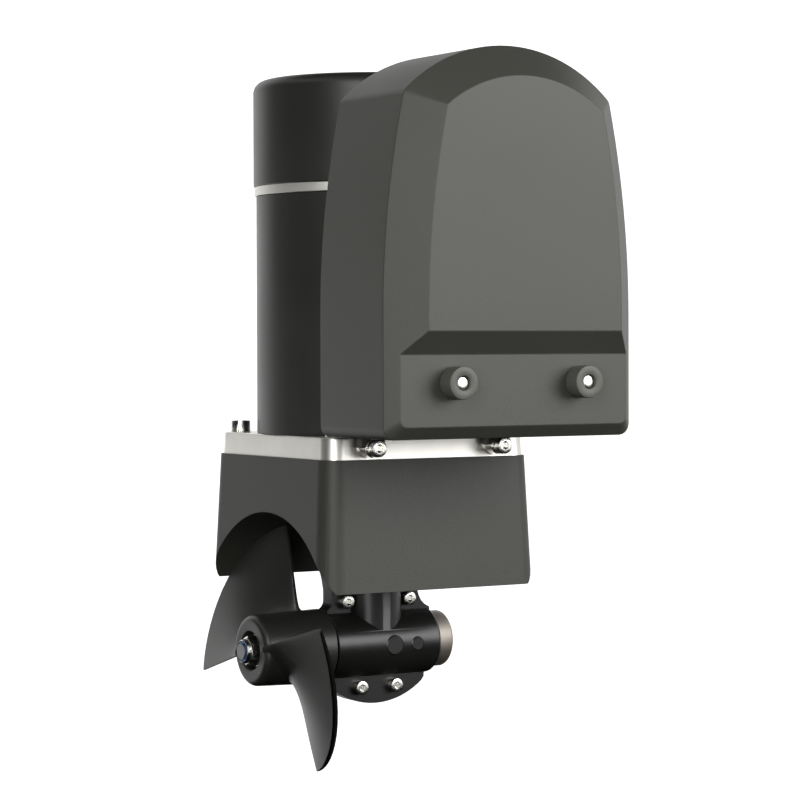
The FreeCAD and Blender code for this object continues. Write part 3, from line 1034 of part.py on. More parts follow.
def build_cover():
    outer = cover_body(0.0, COVER_BACK_Y, COVER_CREASE_Y, COVER_FRONT_Y)
    outer = outer.cut(ledge_tool(COVER_LEDGE_Y, COVER_LEDGE_TOP_Z, COVER_LEDGE_FOOT_Z, COVER_FRONT_Y))
    wall = COVER_WALL
    inner_crease = COVER_CREASE_Y + wall * math.tan(math.radians(22.5))
    inner_front = COVER_FRONT_Y + wall
    inner = cover_body(wall, COVER_BACK_Y + 5.0, inner_crease, inner_front)
    slope = (COVER_LEDGE_TOP_Z - COVER_LEDGE_FOOT_Z) / (COVER_LEDGE_Y - COVER_FRONT_Y)
    lift = wall * math.hypot(1.0, slope)
    inner = inner.cut(ledge_tool(COVER_LEDGE_Y + wall, COVER_LEDGE_TOP_Z + lift - wall * slope,
                                 COVER_LEDGE_FOOT_Z + lift - wall * slope, inner_front))
    cover = outer.cut(inner)
    tools = [box(-CABLE_SLOT_HALF_X, CABLE_SLOT_HALF_X, CABLE_SLOT_Y0, CABLE_SLOT_Y1,
                 COVER_BOTTOM_Z - 1, COVER_BOTTOM_Z + COVER_WALL + 1)]
    for x in (KNOB_X, -KNOB_X):
        tools.append(rod(KNOB_HOLE_R, (x, COVER_LEDGE_Y - 5, KNOB_Z), (x, COVER_LEDGE_Y + 8, KNOB_Z)))
    save("cover", cut_all(cover, tools))

    for side, x in (("left", -KNOB_X), ("right", KNOB_X)):
        seal_y = COVER_LEDGE_Y - KNOB_SEAL_T
        back = seal_y - 0.05
        front = back - KNOB_LENGTH
        body = rod(KNOB_R, (x, back, KNOB_Z), (x, front, KNOB_Z))
        body = chamfer_end(body, V(x, front, KNOB_Z), 0.7)
        body = body.cut(rod(KNOB_RECESS_R, (x, front - 1, KNOB_Z), (x, front + KNOB_RECESS, KNOB_Z)))
        body = body.cut(rod(KNOB_SCREW_R + SEAT_GAP, (x, 0, KNOB_Z), (x, front - 1, KNOB_Z)))
        screw = socket_screw(KNOB_SCREW_R, KNOB_SCREW_HEAD_R, KNOB_RECESS - 0.6, (x, front + 0.6, KNOB_Z), (0, 1, 0),
                             post_front_y() + KNOB_SCREW_REACH - front - KNOB_RECESS, 2.5)
        save("knob_" + side, body, screw)
        save("knob_seal_" + side, ring(KNOB_SEAL_R, KNOB_SCREW_R + RUN_GAP, (x, COVER_LEDGE_Y - 0.02, KNOB_Z),
                                       (x, seal_y, KNOB_Z)))


def post_front_y():
    return COVER_LEDGE_Y + COVER_WALL + 0.2


def build_control_base():
    outline = cover_outline(BASE_INSET, BASE_INSET, BASE_BACK_Y)
    base = Part.Face(outline).extrude(V(0, -BASE_T, 0))
    foot_z = PLATE_TOP_Z - FOOT_SCREW_DROP
    seat = foot_seat_y()
    solids = []
    base_foot = COVER_BOTTOM_Z + BASE_INSET
    for x in (FOOT_SCREW_X, -FOOT_SCREW_X):
        lug = box(x - LUG_W / 2, x + LUG_W / 2, seat - FOOT_LUG_T, seat, foot_z + LUG_FOOT_GAP, base_foot + 12)
        gusset = box(x - LUG_W / 2, x + LUG_W / 2, BASE_BACK_Y, seat - FOOT_LUG_T, base_foot, base_foot + 12)
        rib = box(x - RIB_W / 2, x + RIB_W / 2, BASE_BACK_Y, seat - 1.0, base_foot + 4, RIB_TOP_Z)
        solids += [lug, gusset, rib]
    base = base.multiFuse(solids)
    tools = []
    for x in (FOOT_SCREW_X, -FOOT_SCREW_X):
        tools.append(rod(FOOT_SCREW_R + 0.1, (x, -BIG, foot_z), (x, 0, foot_z)))
        tools.append(rod(3.0 + SEAT_GAP, (math.copysign(KNOB_X, x), BASE_BACK_Y + 1, KNOB_Z),
                         (math.copysign(KNOB_X, x), BASE_FRONT_Y - 1, KNOB_Z)))
    for x in (MOTOR_STUD_X, -MOTOR_STUD_X):
        half = STRAP_W / 2 + 1.5
        tools.append(box(x - half, x + half, BASE_FRONT_Y - 1, BASE_BACK_Y + 1,
                         CONTACTOR_TOP_Z - 1.5, CONTACTOR_TOP_Z + STRAP_T + 1.5))
    save("control_base", cut_all(base, tools).removeSplitter())

    posts = []
    for x in (KNOB_X, -KNOB_X):
        front = post_front_y()
        post = rod(POST_R, (x, BASE_FRONT_Y, KNOB_Z), (x, front, KNOB_Z))
        post = post.fuse(rod(3.0, (x, BASE_BACK_Y - 0.1, KNOB_Z), (x, BASE_FRONT_Y - 1, KNOB_Z)))
        posts.append(post.cut(rod(POST_BORE_R, (x, front - 1, KNOB_Z), (x, front + POST_BORE_DEPTH, KNOB_Z))))
    save("cover_posts", *posts)


def bridge_rest_z():
    """Level of the underside of a bridge bar with its plunger down."""
    return CONTACTOR_Z0 + WELL_FLOOR + COIL_H + 6.5


def build_contactor():
    front = BASE_FRONT_Y - CONTACTOR_DEPTH
    half = CONTACTOR_HALF_X
    mid = CONTACTOR_MID_Y
    case = box(-half, half, front, BASE_FRONT_Y, CONTACTOR_Z0, CONTACTOR_LID_Z)
    case = case.makeFillet(2.0, [e for e in case.Edges if abs(e.BoundBox.XLength) < 1e-6 and abs(e.BoundBox.YLength) < 1e-6])
    floor = CONTACTOR_Z0 + WELL_FLOOR
    wells = [rod(WELL_R, (x, mid, floor), (x, mid, BIG)) for x in (COIL_X, -COIL_X)]
    save("contactor_case", cut_all(case, wells))
    contact_z = bridge_rest_z() + BRIDGE_H + PLUNGER_TRAVEL + CONTACT_GAP
    lid = box(-half, half, front, BASE_FRONT_Y, CONTACTOR_LID_Z, CONTACTOR_TOP_Z)
    lid = lid.makeFillet(2.0, [e for e in lid.Edges if abs(e.BoundBox.XLength) < 1e-6 and abs(e.BoundBox.YLength) < 1e-6])
    holes = [rod(STUD_ROOT_R + SEAT_GAP, (x, mid, 0), (x, mid, BIG))
             for x in (BATTERY_STUD_X, MOTOR_STUD_X, -BATTERY_STUD_X, -MOTOR_STUD_X)]
    save("contactor_lid", cut_all(lid, holes))
    coils = [ring(COIL_R, COIL_BORE_R, (x, mid, floor), (x, mid, floor + COIL_H)) for x in (COIL_X, -COIL_X)]
    save("contactor_coils", *coils)
    bar_z = bridge_rest_z()
    for side, x in (("left", -COIL_X), ("right", COIL_X)):
        core = rod(PLUNGER_R, (x, mid, floor + 0.1), (x, mid, floor + COIL_H + 2))
        stem = rod(2.5, (x, mid, floor + COIL_H + 1), (x, mid, bar_z + 0.5))
        bar = box(x - BRIDGE_LENGTH / 2, x + BRIDGE_LENGTH / 2, mid - BRIDGE_W / 2, mid + BRIDGE_W / 2,
                  bar_z, bar_z + BRIDGE_H)
        save("contactor_plunger_" + side, core.multiFuse([stem, bar]))


def build_module():
    front = BASE_FRONT_Y - MODULE_DEPTH
    case = box(-MODULE_HALF_X, MODULE_HALF_X, front, BASE_FRONT_Y, MODULE_Z0, MODULE_Z1)
    case = case.makeFillet(2.0, [e for e in case.Edges if abs(e.BoundBox.YMin - front) < 1e-6 and abs(e.BoundBox.YMax - front) < 1e-6])
    mid = (front + BASE_FRONT_Y) / 2
    socket = ring(SOCKET_R, SOCKET_R - 1.5, (SOCKET_X, mid, MODULE_Z0 - SOCKET_H), (SOCKET_X, mid, MODULE_Z0))
    pins = [rod(0.8, (SOCKET_X + dx, mid, MODULE_Z0 - SOCKET_H + 4), (SOCKET_X + dx, mid, MODULE_Z0 + 0.5))
            for dx in (-2.0, 2.0)]
    save("control_module", case.multiFuse([socket] + pins))
    wires = [rod(WIRE_R, (x, mid, MODULE_Z1), (x, mid, CONTACTOR_Z0))
             for x in (WIRE_X, -WIRE_X, WIRE_X + 4.0, -WIRE_X - 4.0)]
    save("coil_wires", *wires)


os.makedirs("parts", exist_ok=True)
build_propeller_end()
build_leg()
build_drive_train()
build_saddle()
build_plate()
build_coupling()
build_motor_frame()
build_armature()
build_brush_gear()
build_terminals()
build_cover()
build_control_base()
build_contactor()
build_module()
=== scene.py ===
import bpy
import bmesh
import math
from mathutils import Matrix, Vector


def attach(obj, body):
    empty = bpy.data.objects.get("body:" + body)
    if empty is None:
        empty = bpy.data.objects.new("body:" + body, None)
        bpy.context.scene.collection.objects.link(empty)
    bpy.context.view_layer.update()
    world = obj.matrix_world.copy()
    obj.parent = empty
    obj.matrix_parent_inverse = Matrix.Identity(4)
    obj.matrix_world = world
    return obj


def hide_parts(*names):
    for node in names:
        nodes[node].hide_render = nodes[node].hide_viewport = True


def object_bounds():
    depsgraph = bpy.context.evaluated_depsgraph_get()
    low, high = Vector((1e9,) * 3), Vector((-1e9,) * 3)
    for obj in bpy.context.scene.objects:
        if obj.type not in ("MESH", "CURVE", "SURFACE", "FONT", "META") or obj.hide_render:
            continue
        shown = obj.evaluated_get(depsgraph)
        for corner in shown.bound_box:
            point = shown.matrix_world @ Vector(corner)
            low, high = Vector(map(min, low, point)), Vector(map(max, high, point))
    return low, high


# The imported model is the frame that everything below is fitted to.  Metres throughout: +X runs along the
# tunnel away from the propeller, -Y faces the control cover, +Z runs up the motor.
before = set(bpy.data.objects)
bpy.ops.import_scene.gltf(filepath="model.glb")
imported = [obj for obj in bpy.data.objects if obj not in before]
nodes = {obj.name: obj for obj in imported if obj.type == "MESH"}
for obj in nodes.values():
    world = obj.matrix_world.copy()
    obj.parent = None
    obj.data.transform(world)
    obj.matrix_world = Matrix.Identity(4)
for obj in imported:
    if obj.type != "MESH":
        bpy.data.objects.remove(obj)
cad_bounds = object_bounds()
bpy.ops.object.select_all(action="DESELECT")
MM = 0.001


# ---- Camera --------------------------------------------------------------------------------------
# A long lens stands a little over a metre away, ahead of the propeller's end and just above the middle of
# the motor, and looks very slightly down.
camera_data = bpy.data.cameras.new("camera")
camera_data.lens = 120.3
camera_data.sensor_width = 36.0
camera_data.clip_start = 0.05
camera = bpy.data.objects.new("camera", camera_data)
aim = Matrix.Rotation(math.radians(-31.34), 4, "Z") @ Matrix.Rotation(math.radians(88.76), 4, "X")
camera.matrix_world = (Matrix.Translation((-0.6941, -1.1686, 0.15285)) @ aim
                       @ Matrix.Rotation(math.radians(-0.17), 4, "Z"))
bpy.context.scene.collection.objects.link(camera)
bpy.context.scene.camera = camera


# ---- Floor and backdrop --------------------------------------------------------------------------
# A plain white sweep well below the thruster, which hangs by its saddle.  It stays white to the camera
# and in polished metal, and still takes the thruster's soft shadow.
FLOOR_Z = cad_bounds[0].z - 0.14
SWEEP_BACK_Y = 1.9
SWEEP_BEND_R = 0.8
SWEEP_WIDTH = 7.0
SWEEP_FRONT_Y = -4.0
SWEEP_HEIGHT = 3.0
SWEEP_GLOW = 0.96


def add_node(material, kind, settings=None, links=None):
    """Adds one node: settings gives attributes or unlinked inputs by name, links the sockets that feed it."""
    node = material.node_tree.nodes.new(kind)
    for name, value in (settings or {}).items():
        if isinstance(name, str) and hasattr(node, name):
            setattr(node, name, value)
        else:
            node.inputs[name].default_value = value
    for name, source in (links or {}).items():
        material.node_tree.links.new(source, node.inputs[name])
    return node


def linear(hex_code):
    """Linear colour of an sRGB hex value."""
    channels = [int(hex_code[i:i + 2], 16) / 255 for i in (1, 3, 5)]
    return [c / 12.92 if c <= 0.04045 else ((c + 0.055) / 1.055) ** 2.4 for c in channels] + [1.0]


def empty_material(name):
    """Node material with nothing in it yet."""
    material = bpy.data.materials.new(name)
    material.use_nodes = True
    material.node_tree.nodes.clear()
    return material


def activate(piece):
    """Makes a piece the only selected and active object."""
    bpy.ops.object.select_all(action="DESELECT")
    piece.select_set(True)
    bpy.context.view_layer.objects.active = piece
    return piece


def seen_directly(material):
    """One for rays from the camera, off mirrors or through glass, nought for the rest."""
    path = add_node(material, "ShaderNodeLightPath")
    either = add_node(material, "ShaderNodeMath", {"operation": "MAXIMUM"},
                      {0: path.outputs["Is Camera Ray"], 1: path.outputs["Is Glossy Ray"]})
    any_of = add_node(material, "ShaderNodeMath", {"operation": "MAXIMUM"},
                      {0: either.outputs[0], 1: path.outputs["Is Transmission Ray"]})
    return any_of.outputs[0]


def seen_white(material, lit, strength):
    """Adds a glow to a lit shader that only the camera, mirrors and glass see."""
    power = add_node(material, "ShaderNodeMath", {"operation": "MULTIPLY", 1: strength},
                     {0: seen_directly(material)})
    glow = add_node(material, "ShaderNodeEmission", {"Color": (1, 1, 1, 1)}, {"Strength": power.outputs[0]})
    return add_node(material, "ShaderNodeAddShader", None, {0: lit, 1: glow.outputs[0]})


sweep_paper = empty_material("white_sweep_paper")
paper = add_node(sweep_paper, "ShaderNodeBsdfDiffuse", {"Color": linear("#ECECEA")})
glowing = seen_white(sweep_paper, paper.outputs[0], SWEEP_GLOW)
add_node(sweep_paper, "ShaderNodeOutputMaterial", None, {"Surface": glowing.outputs[0]})

bpy.ops.mesh.primitive_plane_add(size=1.0)
sweep = activate(bpy.context.object)
sweep.name = "sweep"
sweep.data.transform(Matrix.Diagonal((SWEEP_WIDTH, SWEEP_BACK_Y - SWEEP_BEND_R - SWEEP_FRONT_Y, 1.0, 1.0)))
sweep.data.transform(Matrix.Translation((0, (SWEEP_BACK_Y - SWEEP_BEND_R + SWEEP_FRONT_Y) / 2, FLOOR_Z)))
bpy.ops.object.mode_set(mode="EDIT")
shape = bmesh.from_edit_mesh(sweep.data)
for edge in shape.edges:
    edge.select = all(v.co.y > 1.0 for v in edge.verts)
bmesh.update_edit_mesh(sweep.data)
bpy.ops.mesh.spin(steps=16, angle=math.radians(-90), axis=(1, 0, 0),
                  center=(0, SWEEP_BACK_Y - SWEEP_BEND_R, FLOOR_Z + SWEEP_BEND_R))
bpy.ops.mesh.extrude_region_move(TRANSFORM_OT_translate={"value": (0, 0, SWEEP_HEIGHT)})
bpy.ops.object.mode_set(mode="OBJECT")
bpy.ops.object.shade_smooth()
sweep.data.materials.append(sweep_paper)

world = bpy.data.worlds.new("studio")
world.use_nodes = True
world.node_tree.nodes.clear()
fill = add_node(world, "ShaderNodeBackground", {"Color": linear("#F4F5F6"), "Strength": 0.3})
white = add_node(world, "ShaderNodeBackground", {"Color": (1, 1, 1, 1), "Strength": 1.0})
choice = add_node(world, "ShaderNodeMixShader", None,
                  {0: seen_directly(world), 1: fill.outputs[0], 2: white.outputs[0]})
add_node(world, "ShaderNodeOutputWorld", None, {"Surface": choice.outputs[0]})
bpy.context.scene.world = world
bpy.context.scene.view_settings.view_transform = "Standard"


# ---- Lamps ---------------------------------------------------------------------------------------
# A wide soft box to the front right gives the cover's face its sheen, and a narrow one to the left draws the
# edges.  Black velvet cards, out of the camera's sight, keep the other sides and the underside dark.
LIT_POINT = (0, 0, 0.12)


def soft_box(name, place, size, power, target=LIT_POINT):
    """Rectangular lamp that faces its target."""
    lamp = bpy.data.lights.new(name, "AREA")
    lamp.shape = "RECTANGLE"
    lamp.size, lamp.size_y = size
    lamp.energy = power
    holder = bpy.data.objects.new(name, lamp)
    holder.location = place
    holder.rotation_euler = (Vector(target) - Vector(place)).to_track_quat("-Z", "Y").to_euler()
    bpy.context.scene.collection.objects.link(holder)


soft_box("front_right_box", (0.95, -1.5, 0.68), (1.3, 1.15), 27)
soft_box("left_box", (-1.12, -1.2, 0.45), (0.55, 1.2), 16)
soft_box("back_strip", (-1.3, 1.05, 0.4), (0.1, 1.0), 0.35)

velvet = empty_material("black_velvet_card")
nap = add_node(velvet, "ShaderNodeBsdfDiffuse", {"Color": linear("#0C0C0C")})
add_node(velvet, "ShaderNodeOutputMaterial", None, {"Surface": nap.outputs[0]})


def velvet_card(name, place, size, target=LIT_POINT):
    """Black card that faces its target and that the camera doesn't see."""
    bpy.ops.mesh.primitive_plane_add(size=1.0)
    card = activate(bpy.context.object)
    card.name = name
    turn = (Vector(target) - Vector(place)).to_track_quat("Z", "Y").to_matrix().to_4x4()
    card.data.transform(Matrix.Translation(place) @ turn @ Matrix.Diagonal((*size, 1.0, 1.0)))
    card.data.materials.append(velvet)
    card.visible_camera = False


velvet_card("card_left", (-2.1, -0.62, 0.3), (3.1, 2.6))
velvet_card("card_back_left", (-1.45, 1.45, 0.3), (1.9, 2.4))
velvet_card("card_over", (0.2, 0.0, 1.35), (2.4, 2.4))
velvet_card("card_under", (0.2, -0.9, FLOOR_Z + 0.01), (2.4, 2.6), (0.2, -0.9, 0.12))


# ---- Cover ---------------------------------------------------------------------------------------
# The control unit's hood is one injection moulding in satin black with fine spark texture.  Its sides lean
# in to round shoulders under a bowed roof, and 45 degree bands draw in to a flat face with a ledge below.
COVER_BACK = -69.75
COVER_FACE = -142.5
COVER_NOSE = 15.2
COVER_LEDGE = 9.5
LEDGE_TOP = 157.8
LEDGE_FOOT = 147.2
COVER_WALL = 3.0
COVER_FOOT = 108.0
COVER_HALF = 69.0
COVER_WIDEST = 165.0        # level above which the sides lean in
COVER_SHOULDER = (57.5, 267.5)
COVER_TOP = 291.0
COVER_MOUTH = 5.0           # the hollow runs out through the back by this much
KNOB_PLACES = {"left": (-35.0, 134.0), "right": (35.0, 134.0)}


def on_arc(centre, radius, first, last, count):
    """Points on an arc between two angles, without its end."""
    return [(centre[0] + radius * math.cos(first + (last - first) * i / count),
             centre[1] + radius * math.sin(first + (last - first) * i / count)) for i in range(count)]


def hood_outline(inset, lift):
    """Points (x, z) in mm, anticlockwise from the foot, of the hood's outline moved in by the inset."""
    bottom, half = COVER_FOOT + lift, COVER_HALF - inset
    shoulder = (COVER_SHOULDER[0] - 0.93 * inset, COVER_SHOULDER[1] - 0.45 * inset)
    apex = COVER_TOP - inset
    foot = max(5.5 - inset, 1.2)
    corner = max(6.0 - 0.3 * inset, 1.5)
    lean, climb = half - shoulder[0], shoulder[1] - COVER_WIDEST
    side_r = (lean ** 2 + climb ** 2) / (2 * lean)
    side_centre = (half - side_r, COVER_WIDEST)
    rise = apex - shoulder[1]
    roof_r = (shoulder[0] ** 2 + rise ** 2) / (2 * rise)
    roof_centre = (0.0, apex - roof_r)
    across, up = roof_centre[0] - side_centre[0], roof_centre[1] - side_centre[1]
    apart = math.hypot(across, up)
    along = ((side_r - corner) ** 2 - (roof_r - corner) ** 2 + apart ** 2) / (2 * apart)
    off = math.sqrt((side_r - corner) ** 2 - along ** 2)
    meet = (side_centre[0] + (along * across - off * up) / apart,
            side_centre[1] + (along * up + off * across) / apart)
    side_end = math.atan2(meet[1] - side_centre[1], meet[0] - side_centre[0])
    roof_start = math.atan2(meet[1] - roof_centre[1], meet[0] - roof_centre[0])
    right = [((half - foot) * i / 6, bottom) for i in range(6)]
    right += on_arc((half - foot, bottom + foot), foot, -math.pi / 2, 0, 5)
    right += [(half, bottom + foot + (COVER_WIDEST - bottom - foot) * i / 6) for i in range(6)]
    right += on_arc(side_centre, side_r, 0, side_end, 12)
    right += on_arc(meet, corner, side_end, roof_start, 6)
    right += on_arc(roof_centre, roof_r, roof_start, math.pi / 2, 14)
    left = [(-x, z) for x, z in right[1:]]
    return right + [(0.0, apex)] + left[::-1]


def hood_ring(inset, lift, y):
    """The outline as points in metres at one depth."""
    return [Vector((x, y, z)) * MM for x, z in hood_outline(inset, lift)]


def noise(material, place, scale, detail):
    """Noise laid over the piece's own coordinates."""
    node = add_node(material, "ShaderNodeTexNoise", {"Scale": scale, "Detail": detail}, {"Vector": place})
    return node.outputs["Fac"]


def surfaced(material, settings, tones, drift, gloss, sheen, height, bump, depth):
    """Ends a material: the drift mixes its tones, the sheen runs over its gloss, the height gives relief."""
    first, second = (linear(hex_code) for hex_code in tones)
    tone = add_node(material, "ShaderNodeMix", {"data_type": "RGBA", 6: first, 7: second}, {0: drift})
    rough = add_node(material, "ShaderNodeMapRange", {"To Min": gloss[0], "To Max": gloss[1]},
                     {"Value": sheen})
    relief = add_node(material, "ShaderNodeBump", {"Strength": bump, "Distance": depth}, {"Height": height})
    shader = add_node(material, "ShaderNodeBsdfPrincipled", settings,
                      {"Base Color": tone.outputs[2], "Roughness": rough.outputs[0],
                       "Normal": relief.outputs[0]})
    add_node(material, "ShaderNodeOutputMaterial", None, {"Surface": shader.outputs[0]})
    return material


SATIN = {"IOR": 1.5, "Specular IOR Level": 0.4}


def moulded(name, base, sheen_base, roughness, grain_mm, bump):
    """Moulded plastic or rubber: slow tone drift, fine spark texture and a little uneven gloss."""
    material = empty_material(name)
    place = add_node(material, "ShaderNodeTexCoord").outputs["Object"]
    drift = noise(material, place, 9.0, 2.0)
    grain = noise(material, place, 1000.0 / grain_mm, 3.0)
    return surfaced(material, SATIN, (base, sheen_base), drift, (roughness - 0.05, roughness + 0.06), drift,
                    grain, bump, 0.0002)


def boolean(piece, tool, operation="DIFFERENCE"):
    """Applies a boolean with a tool and removes the tool."""
    activate(piece)
    cut = piece.modifiers.new("cut", "BOOLEAN")
    cut.operation = operation
    cut.solver = "EXACT"
    cut.object = tool
    bpy.ops.object.modifier_apply(modifier="cut")
    bpy.data.objects.remove(tool)


def smooth(piece, angle=34.0):
    """Shades faces smooth where they meet at less than the angle."""
    activate(piece)
    bpy.ops.object.shade_smooth_by_angle(angle=math.radians(angle))


def finish_edges(piece, width_mm, segments=3, angle=28.0):
    """Rounds the sharp edges and shades the rest smooth."""
    activate(piece)
    edge = piece.modifiers.new("edge", "BEVEL")
    edge.width = width_mm * MM
    edge.segments = segments
    edge.limit_method = "ANGLE"
    edge.angle_limit = math.radians(angle)
    edge.use_clamp_overlap = True
    bpy.ops.object.modifier_apply(modifier="edge")
    smooth(piece)
    even = piece.modifiers.new("even", "WEIGHTED_NORMAL")
    even.keep_sharp = True
    bpy.ops.object.modifier_apply(modifier="even")


def take(piece, name, body, material, slot, *replaced):
    """Names a piece, dresses it, ties it to its body and hides the solids it stands for; the slot is not
    used.
    """
    piece.name = name
    piece.data.materials.clear()
    piece.data.materials.append(material)
    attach(piece, body)
    if replaced:
        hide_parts(*replaced)
    return piece


def rod_tool(radius_mm, start_mm, end_mm, sides=64):
    """Cylinder between two centres, with its place in its mesh."""
    start, end = Vector(start_mm) * MM, Vector(end_mm) * MM
    bpy.ops.mesh.primitive_cylinder_add(vertices=sides, radius=radius_mm * MM, depth=(end - start).length)
    piece = activate(bpy.context.object)
    turn = (end - start).to_track_quat("Z", "Y").to_matrix().to_4x4()
    piece.data.transform(Matrix.Translation((start + end) / 2) @ turn)
    return piece


def block_tool(low_mm, high_mm):
    """Box between two corners, with its place in its mesh."""
    bpy.ops.mesh.primitive_cube_add(size=1.0)
    piece = activate(bpy.context.object)
    low, high = Vector(low_mm) * MM, Vector(high_mm) * MM
    piece.data.transform(Matrix.Translation((low + high) / 2) @ Matrix.Diagonal((*(high - low), 1.0)))
    return piece


def prism(outline, half, axis):
    """Prism that runs half to each side along X or Y, from an outline of (y, z) or (x, z) in millimetres."""
    bpy.ops.mesh.primitive_circle_add(vertices=len(outline), radius=1.0, fill_type="NGON")
    piece = activate(bpy.context.object)
    for vertex, (across, z) in zip(piece.data.vertices, outline):
        vertex.co = Vector((-half, across, z) if axis == "X" else (across, -half, z)) * MM
    run = 2 * half * MM
    bpy.ops.object.mode_set(mode="EDIT")
    bpy.ops.mesh.select_all(action="SELECT")
    bpy.ops.mesh.extrude_region_move(
        TRANSFORM_OT_translate={"value": (run, 0, 0) if axis == "X" else (0, run, 0)})
    bpy.ops.mesh.select_all(action="SELECT")
    bpy.ops.mesh.normals_make_consistent(inside=False)
    bpy.ops.object.mode_set(mode="OBJECT")
    return piece


def lofted(rings):
    """Closed skin through rings of equal length: a face is extruded ring by ring and each ring is set."""
    bpy.ops.mesh.primitive_circle_add(vertices=len(rings[0]), radius=1.0, fill_type="NGON")
    piece = activate(bpy.context.object)
    for vertex, point in zip(piece.data.vertices, rings[0]):
        vertex.co = point
    bpy.ops.object.mode_set(mode="EDIT")
    bpy.ops.mesh.select_all(action="SELECT")
    edge_order = list(range(len(rings[0])))
    for ring in rings[1:]:
        bpy.ops.mesh.extrude_region_move(TRANSFORM_OT_translate={"value": (0, 0, 0)})
        shape = bmesh.from_edit_mesh(piece.data)
        shape.verts.ensure_lookup_table()
        shape.verts.index_update()
        fresh = {vertex for face in shape.faces if face.select for vertex in face.verts}
        new_order = []
        for index, point in zip(edge_order, ring):
            old = shape.verts[index]
            vertex = next(edge.other_vert(old) for edge in old.link_edges if edge.other_vert(old) in fresh)
            vertex.co = point
            new_order.append(vertex.index)
        edge_order = new_order
        bmesh.update_edit_mesh(piece.data)
    bpy.ops.mesh.select_all(action="SELECT")
    bpy.ops.mesh.normals_make_consistent(inside=False)
    bpy.ops.object.mode_set(mode="OBJECT")
    return piece


hood_plastic = moulded("hood_moulded_abs", "#3F403B", "#464741", 0.47, 0.55, 0.35)


def hood_body(inset, back_y, crease_y, face_y):
    """Solid hood shape whose bands draw in from the crease to the face."""
    depth = crease_y - face_y
    return lofted([hood_ring(inset, inset, back_y), hood_ring(inset, inset, crease_y),
                   hood_ring(inset + depth, inset + depth, face_y)])


def ledge_wedge(ledge_y, top, foot, face_y):
    """Tool that takes away what stands in front of the knobs' face and under its ramp."""
    slope = (top - foot) / (ledge_y - face_y)
    outer_y = face_y - 10.0
    below = COVER_FOOT - 18.0
    return prism([(ledge_y, below), (ledge_y, foot), (outer_y, foot + slope * (ledge_y - outer_y)),
                  (outer_y, below)], COVER_HALF + 21.0, "X")


ledge_y = COVER_FACE + COVER_LEDGE
slope = (LEDGE_TOP - LEDGE_FOOT) / COVER_LEDGE
lift = COVER_WALL * math.sqrt(1 + slope * slope)
hood = hood_body(0.0, COVER_BACK, COVER_FACE + COVER_NOSE, COVER_FACE)
boolean(hood, ledge_wedge(ledge_y, LEDGE_TOP, LEDGE_FOOT, COVER_FACE))
hollow = hood_body(COVER_WALL, COVER_BACK + COVER_MOUTH, COVER_FACE + COVER_NOSE + 1.2,
                   COVER_FACE + COVER_WALL)
boolean(hollow, ledge_wedge(ledge_y + COVER_WALL, LEDGE_TOP + lift - COVER_WALL * slope,
                            LEDGE_FOOT + lift - COVER_WALL * slope, COVER_FACE + COVER_WALL))
boolean(hood, hollow)
boolean(hood, block_tool((-34.0, -124.0, COVER_FOOT - 8.0), (34.0, -76.0, COVER_FOOT + COVER_WALL + 1.0)))
for knob_x, knob_z in KNOB_PLACES.values():
    boolean(hood, rod_tool(3.0, (knob_x, ledge_y - 5.0, knob_z), (knob_x, ledge_y + 8.0, knob_z), 48))
take(hood, "hood", "cover", hood_plastic, "cover_black", "cover")
finish_edges(hood, 1.1, 4)


# ---- Knobs ---------------------------------------------------------------------------------------
# Two plain round knobs of moulded nylon hold the hood.  Each is pressed on the head of a stainless socket
# screw that shows in the middle, and sits on a rubber washer.
def turned(profile, centre_mm, along, sides=96, closed=False):
    """Lathe work: (station, radius) points spun about a line, from axis to axis unless closed."""
    bpy.ops.mesh.primitive_circle_add(vertices=len(profile), radius=1.0, fill_type="NOTHING")
    piece = activate(bpy.context.object)
    for vertex, (station, radius) in zip(piece.data.vertices, profile):
        vertex.co = Vector((radius, 0, station)) * MM
    bpy.ops.object.mode_set(mode="EDIT")
    shape = bmesh.from_edit_mesh(piece.data)
    if not closed:
        shape.verts.ensure_lookup_table()
        last = shape.edges.get((shape.verts[0], shape.verts[-1]))
        shape.edges.remove(last)
        bmesh.update_edit_mesh(piece.data)
    bpy.ops.mesh.select_all(action="SELECT")
    bpy.ops.mesh.spin(steps=sides, angle=2 * math.pi, axis=(0, 0, 1), center=(0, 0, 0))
    bpy.ops.mesh.select_all(action="SELECT")
    bpy.ops.mesh.remove_doubles(threshold=0.000002)
    bpy.ops.mesh.normals_make_consistent(inside=False)
    bpy.ops.object.mode_set(mode="OBJECT")
    turn = Vector(along).to_track_quat("Z", "Y").to_matrix().to_4x4()
    piece.data.transform(Matrix.Translation(Vector(centre_mm) * MM) @ turn)
    return piece


def merged(pieces):
    """Joins pieces into the first one."""
    bpy.ops.object.select_all(action="DESELECT")
    for piece in pieces:
        piece.select_set(True)
    bpy.context.view_layer.objects.active = pieces[0]
    bpy.ops.object.join()
    return pieces[0]


